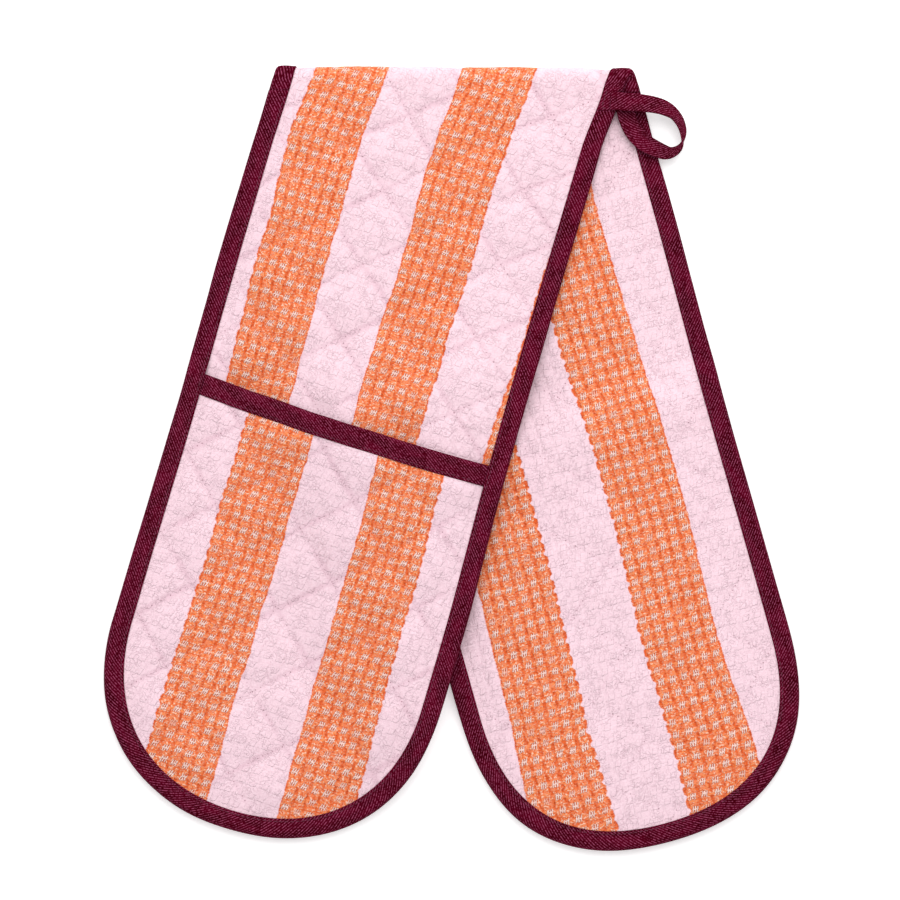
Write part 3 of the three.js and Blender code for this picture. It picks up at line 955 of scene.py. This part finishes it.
def strip_wadding(half):
    """The wadding between the two covers of a half."""
    columns = np.linspace(-WADDING_RADIUS, WADDING_RADIUS, 46)
    grid = clipped_grid(half, columns, cut_line, WADDING_RADIUS, 4.0)
    s, t, _ = grid

    def surface(cloth, sign):
        pressed = 1.0 if sign * half.side < 0 else 0.0

        def at(s, t):
            puff = 0.5 * cloth.puff * quilting(cloth, s, t) * open_part(half, s, t)
            height = body_height(half, s, t) - COVER - WADDING_GAP + puff * mix(1, PRESSED, pressed)
            return place(half, s, t, sign * height, 0.9)

        return at

    surfaces, flat = (surface(STRIP_A, 1), surface(STRIP_B, -1)), np.stack([t, s], axis=1)
    piece = make_sheet(f"{half.name}_wadding_pad", *surfaces, half.side, grid, flat, WADDING)
    settle(piece, half.body, "wadding", f"{half.name}_wadding")


for half in (FRONT, BACK):
    covers = [strip_cover(half, 1, STRIP_A, 5), strip_cover(half, -1, STRIP_B, 4)]
    strip_wadding(half)
    for cover in covers:
        cut_area(half, CUT, CLOTH_RADIUS)

# The fold

BEND_ROWS = np.linspace(-BEND_LENGTH / 2, BEND_LENGTH / 2, 15)
REACH_ROWS = np.linspace(BEND_LENGTH / 2, CUT, 5)[1:]
FOLD_ROWS = np.concatenate([-REACH_ROWS[::-1], BEND_ROWS, REACH_ROWS])


def bend_over(piece, span):
    """Bakes the piece's transform into its mesh.
    The span, no longer than the piece's flat parts are far from the axis, is not used beyond two places
    that nothing uses."""
    x, y, z = FOLD_JOINT["pos_m"]
    low, high = (x, y, z - span * MM), (x, y, z + span * MM)
    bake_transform(piece)
    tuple(low)
    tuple(high)


def fold_grid(columns):
    q, t = [grid.ravel() for grid in np.meshgrid(FOLD_ROWS, columns, indexing="ij")]
    return q, t, grid_faces(len(FOLD_ROWS), len(columns))


def fold_cloth(kind, sign, cloth, span):
    grid = fold_grid(cell_columns(cloth, 4))
    q, t, _ = grid

    def outside(q, t, below=0.0):
        along = from_fold(q, t)
        pressed = smooth(sign * q, 3, -3)
        on_front = relief(cloth, FRONT, along, t, pressed)
        on_back = relief(cloth, BACK, -along, t, pressed)
        height = body_height(FRONT, 0 * t, t) + mix(on_back, on_front, smooth(q, -4, 4))
        if sign < 0:
            height = mix(EDGE_HEIGHT - 0.25, height, smooth(np.abs(q), 5, CUT))
        return place_fold(q, t, sign * (height - below))

    def inside(q, t):
        return outside(q, t, COVER)

    along = from_fold(q, t)
    in_bend = np.clip(q, -BEND_LENGTH / 2, BEND_LENGTH / 2)
    stretch = (BEND_LENGTH / 2 - in_bend) * (0.85 if sign > 0 else 0.0)
    flat = flat_places(cloth, along - stretch, t, warp(FRONT, along, t))
    looks = WAFFLE[cloth.name]
    piece = make_sheet(f"fold_{kind}_cloth", outside, inside, sign, grid, flat, looks)
    bend_over(piece, span)
    dress(piece, "woven_cover", f"fold_{kind}_cover")
    return piece


def fold_wadding():
    grid = fold_grid(np.linspace(-WADDING_RADIUS, WADDING_RADIUS, 40))
    q, t, _ = grid

    def surface(sign):
        def at(q, t):
            return place_fold(q, t, sign * (body_height(FRONT, 0 * t, t) - COVER - WADDING_GAP))

        return at

    flat = np.stack([t, q], axis=1)
    pad = make_sheet("fold_wadding_pad", surface(1), surface(-1), 1, grid, flat, WADDING)
    bend_over(pad, 2.2)
    dress(pad, "wadding", "fold_wadding")


outer = fold_cloth("outer", 1, STRIP_A, 3.4)
backing = fold_cloth("backing", -1, STRIP_B, 0.9)
fold_wadding()

# The pockets


def pocket_top(half, s, t):
    loose = smooth(s - rim_line(half, t), 7, 17)
    pressed = 1.0 if half.side < 0 else 0.0
    return pocket_height(half, s, t) + loose * relief(POCKET_A, half, s, t, pressed)


# For each layer: its name, CAD node, slot, material, columns and rows to a cell, top and underside.
POCKET_LAYERS = (
    (
        "outer_cloth", "outer_cover", "woven_cover", WAFFLE[POCKET_A.name], 4,
        pocket_top, lambda *at: pocket_top(*at) - COVER,
    ),
    (
        "wadding_pad", "wadding", "wadding", WADDING, 2,
        lambda *at: pocket_height(*at) - COVER - WADDING_GAP, lambda *at: pocket_base(*at) + 0.7,
    ),
    (
        "lining_cloth", "lining", "pocket_lining", LINING, 2,
        lambda *at: pocket_base(*at) + 0.55, pocket_base,
    ),
)


def lift_with_mouth(piece, half, sign):
    """Bakes the piece's transform into its mesh. The places of the sewn edge and of the pocket's middle
    at the mouth are worked out but not used.
    """
    edge = place(half, half.mouth, sign * FLANGE_RADIUS, 0.0)
    middle = place(half, half.mouth, 0.0, 0.0)
    middle[2] = edge[2]
    start, end = [tuple((point + [FOLD_X, FOLD_Y, 0]) * MM) for point in (edge, middle)]
    half.body
    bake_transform(piece)
    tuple(start)
    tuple(end)


def pocket_start(half, t):
    return rim_line(half, t) + 0.3


def pocket_panel(half, sign, name, node, slot, material, parts, top, under):
    """One side of a layer of a pocket, from its middle to the sewn edge."""
    low, high = sorted((0.0, sign * POCKET_RADIUS))
    columns, step = cell_columns(POCKET_A, parts, low, high), POCKET_A.row / parts
    grid = clipped_grid(half, columns, pocket_start, POCKET_RADIUS, step)
    s, t, _ = grid

    def surface(height):
        return lambda s, t: place(half, s, t, height(half, s, t))

    flat = flat_places(POCKET_A, s, t, warp(half, s, t))
    name = f"{half.name}_pocket_{name}_{SIDES[sign]}"
    piece = make_sheet(name, surface(top), surface(under), half.side, grid, flat, material)
    lift_with_mouth(piece, half, sign)
    dress(piece, slot, f"{half.name}_pocket_{node}")
    if node == "wadding":
        return
    area = cut_area(half, half.mouth - BINDING_WIDTH / 2, POCKET_RADIUS, 0.5)


for half in (FRONT, BACK):
    for sign in SIDES:
        for layer in POCKET_LAYERS:
            pocket_panel(half, sign, *layer)

# Tapes

EDGE_MIDDLE = 85.0
MOUTH_REACH = 84.0
MOUTH_FLAT_START = 400
# The pocket's layers where they are caught under the binding, as (radius, height) pairs.
SEAM_RING = (
    (81.0, 1.75), (84.5, 1.7), (88.3, 1.75), (88.4, 3.0), (88.0, 4.3), (84.5, 4.45), (81.0, 4.4),
)


def stack_height(half, s, t):
    """The top of everything that the edge binding folds over, on the pocket's face."""
    past_mouth = s - mouth_line(half, t)
    in_pocket = smooth(past_mouth, -17, -7)
    lump = smooth(past_mouth, -13, -6) * (1 - smooth(past_mouth, 6, 13)) * 0.9
    return mix(EDGE_HEIGHT, EDGE_HEIGHT + POCKET_STACK, in_pocket) + lump * (half.side > 0)


def binding_ring(top, under):
    """The binding's folded section as (radius, height) pairs, from its inner edge on the A face."""
    middle, reach = (top - under) / 2, (top + under) / 2 + 0.95
    above = (
        (0, 0.1), (-0.1, 0.55), (0.5, 0.9), (1.5, 0.82), (2.6, 0.98), (4.4, 1.12), (6.2, 1.12),
    )
    below = ((6.2, 1.05), (3.0, 1.0), (1.5, 0.85), (0.3, 0.9), (0, 0.1), (4.0, 0.05))
    ring = [(FLANGE_RADIUS + r, top + h) for r, h in above]
    for k in range(9):
        angle = pi / 2 - pi * k / 8
        out = cos(angle) ** 0.8 if k not in (0, 8) else 0.0
        ring.append((FLANGE_RADIUS + 7.6 + 2.7 * out, middle + (reach + 0.08) * sin(angle)))
    ring += [(FLANGE_RADIUS + r, -under - h) for r, h in below]
    tucked = [(CLOTH_RADIUS + 0.1, -under * 0.8), (CLOTH_RADIUS + 0.1, top * 0.8)]
    return [*ring, *tucked, (FLANGE_RADIUS + 4.0, top + 0.05)]


def tape_flat(ring, around):
    """The tape's own place for every point of a section: along it, and across it."""
    across = [0.0]
    for first, second in zip(ring, ring[1:]):
        across.append(across[-1] + hypot(second[0] - first[0], second[1] - first[1]))
    return [(around, value) for value in across]


def edge_path(half):
    """Places round the half's edge: a side and the part of its length, or the angle of the end."""
    step = 1.7
    count = int(half.length / step)
    turn = int(pi * EDGE_MIDDLE / 2 / step)
    left = [(-1, k / count) for k in range(count)]
    arc = [(0, -90 + 180 * k / (2 * turn)) for k in range(2 * turn + 1)]
    right = [(1, 1 - (k + 1) / count) for k in range(count)]
    return left + arc + right


def edge_point(half, stop, radius):
    sign, value = stop
    if sign == 0:
        angle = radians(value)
        return half.length + radius * cos(angle), radius * sin(angle)
    t = sign * radius
    return mix(float(cut_line(half, t)), half.length, value), t


def edge_binding(half):
    """Tape folded round the edge, with the slight puckers of a sewn curve."""
    rings, flats = [], []
    around, last = 0.0, None
    for stop in edge_path(half):
        s0, t0 = edge_point(half, stop, FLANGE_RADIUS)
        top = float(stack_height(half, s0, t0))
        ring = binding_ring(top, EDGE_HEIGHT)
        middle = edge_point(half, stop, EDGE_MIDDLE)
        if last is not None:
            around += dist(middle, last)
        last = middle
        fade = min(1.0, max(0.0, (s0 - 8) / 12))
        sway = 0.35 * float(noise(around / 24, 0.5, 41)) * fade
        pucker = 0.16 * float(noise(around / 3.1, 2.5, 43)) * fade
        flats += tape_flat(ring, around)
        rings.append([edge_place(half, stop, r, h, sway, pucker, top) for r, h in ring])
    piece = make_bar(f"{half.name}_edge_tape", rings, flats, TWILL)
    settle(piece, half.body, "binding_tape", f"{half.name}_edge_binding")


def edge_place(half, stop, radius, height, sway, pucker, top):
    out = min(1.0, max(0.0, (radius - FLANGE_RADIUS) / 6))
    s, t = edge_point(half, stop, radius + sway * out)
    return place(half, s, t, height + pucker * out * (height > top))


def fold_tape(sign):
    ring = binding_ring(EDGE_HEIGHT, EDGE_HEIGHT)
    rings = [[place_fold(q, sign * r, h) for r, h in ring] for q in FOLD_ROWS]
    flats = [place_on for q in FOLD_ROWS for place_on in tape_flat(ring, q)]
    piece = make_bar(f"fold_tape_{SIDES[sign]}", rings, flats, TWILL)
    bend_over(piece, 0.35)
    dress(piece, "binding_tape", f"fold_binding_{SIDES[sign]}")


def pocket_seam(half):
    """The pocket's layers pressed together and sewn in under the binding."""
    rings, flats = [], []
    for stop in edge_path(half):
        s0, t0 = edge_point(half, stop, FLANGE_RADIUS)
        if s0 >= float(rim_line(half, t0)) + 1:
            rings.append([place(half, *edge_point(half, stop, r), h) for r, h in SEAM_RING])
            flats += [(s0, r + h) for r, h in SEAM_RING]
    piece = make_bar(f"{half.name}_pocket_sewn_edge", rings, flats, LINING)
    settle(piece, half.body, "woven_cover", f"{half.name}_pocket_seam")


def mouth_ring(half, t, rim, flange):
    """The mouth binding's folded section as (distance s, height) pairs."""
    under_edge = float(smooth(abs(t), 76, 81))
    inside_t = max(-POCKET_RADIUS, min(POCKET_RADIUS, t))

    def height(s, offset, base):
        inside = max(s, rim)
        free = float(base(half, inside, inside_t)) + offset
        if offset > 0:
            tucked = EDGE_HEIGHT + POCKET_STACK + 0.35
        else:
            tucked = float(body_height(half, inside, inside_t)) + 0.15
        return mix(free, tucked, under_edge)

    top, low = 0.95, -0.85
    over = (
        (flange, flange, 0.2),
        (flange + 0.1, flange, 0.62),
        (flange - 0.5, flange, top),
        (flange - 1.5, flange, top - 0.1),
        (flange - 2.8, flange - 2, top + 0.1),
        (rim + 4.0, rim + 4, top + 0.25),
        (rim + 1.6, rim, top + 0.15),
        (rim - 0.3, rim, top - 0.35),
    )
    under = (
        (rim - 0.3, rim, low + 0.35),
        (rim + 1.6, rim, low),
        (flange - 0.5, flange, low),
        (flange, flange, low + 0.5),
        (rim + 1.0, rim, low + 0.55),
    )
    above = [(s, height(at, offset, pocket_height)) for s, at, offset in over]
    below = [(s, height(at, offset, pocket_base)) for s, at, offset in under]
    crest, foot = above[-1][1], below[0][1]
    nose = [(rim - 1.25 - 0.25 * sin(pi * k), mix(crest, foot, k)) for k in (0.25, 0.5, 0.75)]
    inner = [(rim + 0.2, mix(crest, foot, 0.5)), (rim + 1.0, height(rim, 0.15, pocket_height))]
    return above + nose + below + inner


def ruffle(t):
    return 0.3 * float(noise(t / 19, 0.5, 51))


def mouth_tape(half, sign):
    """One side of the tape folded over the pocket's mouth. Its end dives under the edge binding."""
    rings, flats = [], []
    for t in np.linspace(0, sign * MOUTH_REACH, 58):
        rim, flange = float(rim_line(half, t)), float(flange_line(half, t))
        ring = mouth_ring(half, t, rim, flange)
        flats += tape_flat(ring, t + MOUTH_FLAT_START)
        rings.append([mouth_place(half, s + ruffle(t), t, h, rim) for s, h in ring])
    piece = make_bar(f"{half.name}_mouth_tape_{SIDES[sign]}", rings, flats, TWILL)
    lift_with_mouth(piece, half, sign)
    dress(piece, "binding_tape", f"{half.name}_pocket_mouth_binding")


def mouth_place(half, s, t, h, rim):
    """A point past the rim stands straight out from it, at the rim's own level."""
    inside = max(s, rim)
    return place(half, inside, t, h) + np.array([-half.side * SIN, -COS, 0]) * (s - inside)


for half in (FRONT, BACK):
    edge_binding(half)
    pocket_seam(half)
    for sign in SIDES:
        mouth_tape(half, sign)
for sign in SIDES:
    fold_tape(sign)

# Stitches

STITCH_LENGTH = 2.1
THREAD = 0.24
THREAD_SHAPE = ((-1.0, 0.35), (-0.6, 0.9), (0.0, 1.0), (0.6, 0.9), (1.0, 0.35))
EDGE_ROW_START = 12.0
EDGE_ROW_MARGIN = 26.0


def stitch_row(at, start, end, points, faces, flats):
    """Adds short lengths of thread to points and faces, half sunk in a surface. at gives the place
    on the surface at a distance along the row and a distance to its side."""
    for k in range(int((end - start) / STITCH)):
        middle = start + (k + 0.5) * STITCH
        centre, aside = at(middle, 0.0), at(middle, 0.3) - at(middle, -0.3)
        ahead = at(middle + 0.3, 0.0) - at(middle - 0.3, 0.0)
        up = np.cross(ahead, aside)
        aside, ahead, up = [v / np.linalg.norm(v) for v in (aside, ahead, up)]
        up = up * (1 if at.upward * up[2] > 0 else -1)
        first = len(points)
        for along, width in THREAD_SHAPE:
            for corner in range(6):
                angle = pi * corner / 3
                out = aside * cos(angle) + up * sin(angle) * 0.8
                forward = ahead * along * STITCH_LENGTH / 2
                points.append(centre + forward + out * width * THREAD + up * 0.06)
                flats.append((middle + along, corner))
        for ring in range(first, first + 24, 6):
            for corner in range(6):
                a, b = ring + corner, ring + (corner + 1) % 6
                faces.append((a, b, b + 6, a + 6))
        faces.append(tuple(range(first, first + 6))[::-1])
        faces.append(tuple(range(first + 24, first + 30)))


def stitched(name, rows):
    """One object from rows of (place on the surface, start, end)."""
    points, faces, flats = [], [], []
    for row in rows:
        stitch_row(*row, points, faces, flats)
    return make_object(name, np.array(points), faces, np.array(flats), PLUM_THREAD)


class EdgeRow:
    """A row along the edge binding: at a radius on the A face's side or on the other side."""

    def __init__(self, half, radius, sign):
        self.half, self.radius, self.sign = half, radius, sign
        self.upward = half.side * sign
        self.straight = half.length - EDGE_ROW_START
        self.turn = pi * radius
        self.length = 2 * self.straight + self.turn

    def __call__(self, along, aside):
        half, radius = self.half, self.radius + aside
        if along < self.straight:
            s, t = half.length - self.straight + along, -radius
        elif along < self.straight + self.turn:
            angle = (along - self.straight) / self.turn * pi - pi / 2
            s, t = half.length + radius * cos(angle), radius * sin(angle)
        else:
            s, t = half.length - (along - self.straight - self.turn), radius
        top = float(stack_height(half, s, copysign(FLANGE_RADIUS, t) if s < half.length else t))
        return place(half, s, t, top + 0.84 if self.sign > 0 else -(EDGE_HEIGHT + 0.86))


class MouthRow:
    """A row along a mouth binding. sign is the side of the pocket."""

    def __init__(self, half, sign):
        self.half, self.sign, self.upward = half, sign, half.side

    def __call__(self, along, aside):
        t = self.sign * along
        s = float(flange_line(self.half, t)) - 1.6 + aside
        inside = max(s, float(rim_line(self.half, t)))
        h = float(pocket_height(self.half, inside, t)) + 0.86
        return place(self.half, s + ruffle(t), t, h)


class PatchRow:
    """A straight row on the loop's anchor patch, between two places given as (s, t)."""

    upward = 1

    def __init__(self, first, last):
        self.first, self.last = np.array(first), np.array(last)
        self.length = dist(first, last)

    def __call__(self, along, aside):
        ahead = (self.last - self.first) / self.length
        s, t = self.first + ahead * along + np.array([-ahead[1], ahead[0]]) * aside
        return place(FRONT, s, t, EDGE_HEIGHT + 1.95)


for half in (FRONT, BACK):
    for sign in SIDES:
        name = f"{half.name}_mouth_stitches_{SIDES[sign]}"
        mouth_stitches = stitched(name, [(MouthRow(half, sign), 0.3, 75.0)])
        lift_with_mouth(mouth_stitches, half, sign)
        dress(mouth_stitches, "binding_tape")
    edge_rows = [EdgeRow(half, FLANGE_RADIUS + 1.5, sign) for sign in (1, -1)]
    spans = [(row, EDGE_ROW_MARGIN, row.length - EDGE_ROW_MARGIN) for row in edge_rows]
    settle(stitched(f"{half.name}_edge_stitches", spans), half.body, "binding_tape")

# The hanging loop

LOOP_WIDTH = 9.6
LOOP_THICKNESS = 1.3
LOOP_OFFSET = Vector((0.9, 0.5, 0))
# Points along the middle of the tape, and the way that its upper face looks there.
LOOP = (
    ((83.0, -10.9, 13.0), (0, 0.05, 1)),
    ((86.8, -11.1, 12.9), (0, 0.05, 1)),
    ((90.6, -11.4, 12.5), (0, 0.1, 1)),
    ((94.8, -11.6, 12.2), (0, 0.15, 1)),
    ((100, -12.0, 12.0), (0, 0.3, 1)),
    ((105.8, -12.8, 11.2), (0.1, 0.4, 0.9)),
    ((111.2, -14.2, 9.8), (0.4, 0.45, 0.8)),
    ((116.3, -17.0, 8.2), (0.75, 0.4, 0.6)),
    ((120.0, -21.7, 7.0), (0.9, 0.15, 0.45)),
    ((121.8, -27.6, 6.2), (1, -0.05, 0.3)),
    ((121.0, -33.4, 5.8), (0.85, -0.5, -0.1)),
    ((117.2, -37.2, 6.2), (0.3, -0.85, -0.5)),
    ((112.0, -37.8, 6.8), (-0.1, -0.6, -0.8)),
    ((105.8, -35.4, 7.3), (-0.1, -0.4, -0.9)),
    ((100.2, -32.2, 7.7), (-0.1, -0.25, -1)),
    ((95.8, -27.6, 8.1), (-0.1, -0.15, -1)),
    ((92.6, -21.6, 8.5), (-0.1, -0.1, -1)),
    ((90.4, -14.4, 8.9), (-0.1, -0.1, -1)),
)


def curve_through(points, steps):
    """A smooth curve through the points, as a list of places."""
    points = [Vector(point) for point in points]
    padded = [points[0] * 2 - points[1], *points, points[-1] * 2 - points[-2]]
    made = []
    spans = len(points) - 1
    for k in range(steps + 1):
        place_on = k / steps * spans
        span = min(int(place_on), spans - 1)
        u = place_on - span
        p0, p1, p2, p3 = padded[span : span + 4]
        a, b = (p2 - p0) * 0.5, (p3 - p1) * 0.5
        near = p1 * (2 * u**3 - 3 * u**2 + 1) + a * (u**3 - 2 * u**2 + u)
        made.append(near + p2 * (3 * u**2 - 2 * u**3) + b * (u**3 - u**2))
    return made


def loop_frames(steps):
    path, facing = [curve_through(points, steps) for points in zip(*LOOP)]
    path = [point + LOOP_OFFSET for point in path]
    frames, around = [], 0.0
    for k, centre in enumerate(path):
        tangent = (path[min(k + 1, steps)] - path[max(k - 1, 0)]).normalized()
        normal = (facing[k] - tangent * facing[k].dot(tangent)).normalized()
        if k:
            around += (centre - path[k - 1]).length
        frames.append((centre, tangent.cross(normal), normal, around))
    return frames


def ribbon_section(width, thick):
    """A flat ribbon folded in two: thicker along its folded edge, dented along its stitching."""
    dents = [(-0.5, 0.55), (-0.46, 0.9), (-0.4, 1.0), (-0.33, 0.82), (-0.25, 0.98), (0.0, 1.05)]
    shape = dents + [(-x, h) for x, h in reversed(dents[:-1])]
    top = [(x * width, h * thick / 2) for x, h in shape]
    return top + [(x, -h) for x, h in reversed(top)]


def make_loop():
    section = ribbon_section(LOOP_WIDTH, LOOP_THICKNESS)
    rings, flats = [], []
    for centre, across, normal, around in loop_frames(120):
        rings.append([tuple(centre + across * x + normal * h) for x, h in section])
        flats += tape_flat(section, around)
    piece = make_bar("loop_tape", rings, flats, TWILL)
    # The two ends have the same y and z; they are not used.
    start, end = [((FOLD_X + x) * MM, FOLD_Y - 0.012, 0.0122) for x in (92.5, 105)]
    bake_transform(piece)
    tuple(start)
    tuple(end)
    dress(piece, "binding_tape", "hanging_loop")


PATCH_START = 3.2
PATCH_LENGTH = 13.0
PATCH_BASE = EDGE_HEIGHT + 1.0
PATCH_RADII = (FLANGE_RADIUS + 0.2, FLANGE_RADIUS + 8.6)


def patch_point(along, r):
    """A point of the anchor patch's upper side, with its soft rim and the dent of its stitches."""
    s = (BEND_LENGTH / 2 + PATCH_START - r * SIN) / COS + along * PATCH_LENGTH
    rim = min(along, 1 - along) * PATCH_LENGTH
    side = min(r - FLANGE_RADIUS - 0.2, FLANGE_RADIUS + 8.6 - r)
    soft = float(smooth(min(rim, side), 0, 0.9))
    box = min(abs(rim - 1.8), abs(side - 1.6))
    dent = 0.16 * float(1 - smooth(box, 0, 0.7))
    return s, r, PATCH_BASE + 0.15 + 0.85 * sqrt(soft + 0.02) - dent


def make_patch():
    """The tape's turned-in end over the binding."""
    radii = np.linspace(*PATCH_RADII, 13)
    grid = np.array([[patch_point(along, r) for r in radii] for along in np.linspace(0, 1, 19)])
    s, t, h = grid.reshape(-1, 3).T
    faces, walls = closed(grid_faces(*grid.shape[:2]), len(s))
    under = np.full_like(h, PATCH_BASE - 0.1)
    points = np.concatenate([place(FRONT, s, t, h), place(FRONT, s, t, under)])
    flat = np.tile(np.stack([s, t + 3], axis=1), (2, 1))
    piece = make_object("loop_anchor_tape", points, faces, flat, TWILL, walls)
    settle(piece, "front_half", "binding_tape", "loop_anchor_patch")
    first = (BEND_LENGTH / 2 + PATCH_START - (FLANGE_RADIUS + 2) * SIN) / COS
    corners = [(first + s, t) for s, t in ((1.8, 82.0), (11.2, 82.0), (11.2, 87.0), (1.8, 87.0))]
    sides = [PatchRow(a, b) for a, b in zip(corners, corners[1:] + corners[:1])]
    box = stitched("loop_anchor_stitches", [(side, 0.0, side.length + 0.5) for side in sides])
    settle(box, "front_half", "binding_tape")


make_loop()
make_patch()

# Stage

WHITE = (1, 1, 1, 1)


def make_floor():
    size = 3.0
    mesh = bpy.data.meshes.new("floor")
    corners = [(-size, -size, 0), (size, -size, 0), (size, size, 0), (-size, size, 0)]
    mesh.from_pydata(corners, [], [(0, 1, 2, 3)])
    floor = add_object("floor", mesh)
    material = bpy.data.materials.new("floor")
    material.use_nodes = True
    looks = {"Base Color": (0.97, 0.97, 0.97, 1), "Roughness": 0.9}
    glow = {"Emission Color": WHITE, "Emission Strength": 0.35}
    set_inputs(material.node_tree.nodes["Principled BSDF"], {**looks, **glow})
    mesh.materials.append(material)


def make_light(name, place_at, size, power):
    data = bpy.data.lights.new(name, "AREA")
    data.size = size
    data.energy = power
    light = add_object(name, data)
    light.location = place_at
    light.rotation_euler = (-Vector(place_at)).to_track_quat("-Z", "Y").to_euler()


def make_camera():
    """Straight above, a long way off, turned a little as the photographer stood."""
    data = bpy.data.cameras.new("camera")
    distance = 6.0
    seen_width = 0.478
    data.sensor_width = 36
    data.lens = data.sensor_width * (distance - 0.01) / seen_width
    data.clip_end = 50
    camera = add_object("camera", data)
    camera.location = (-0.0008, 0.0056, distance)
    camera.rotation_euler = (0, 0, radians(0.4))
    bpy.context.scene.camera = camera


make_floor()
make_light("key", (0.1, 1.35, 1.85), 2.0, 40.5)
world = bpy.data.worlds.new("studio")
world.use_nodes = True
set_inputs(world.node_tree.nodes["Background"], {"Color": WHITE, "Strength": 0.68})
bpy.context.scene.world = world
bpy.context.scene.view_settings.view_transform = "Standard"
make_camera()
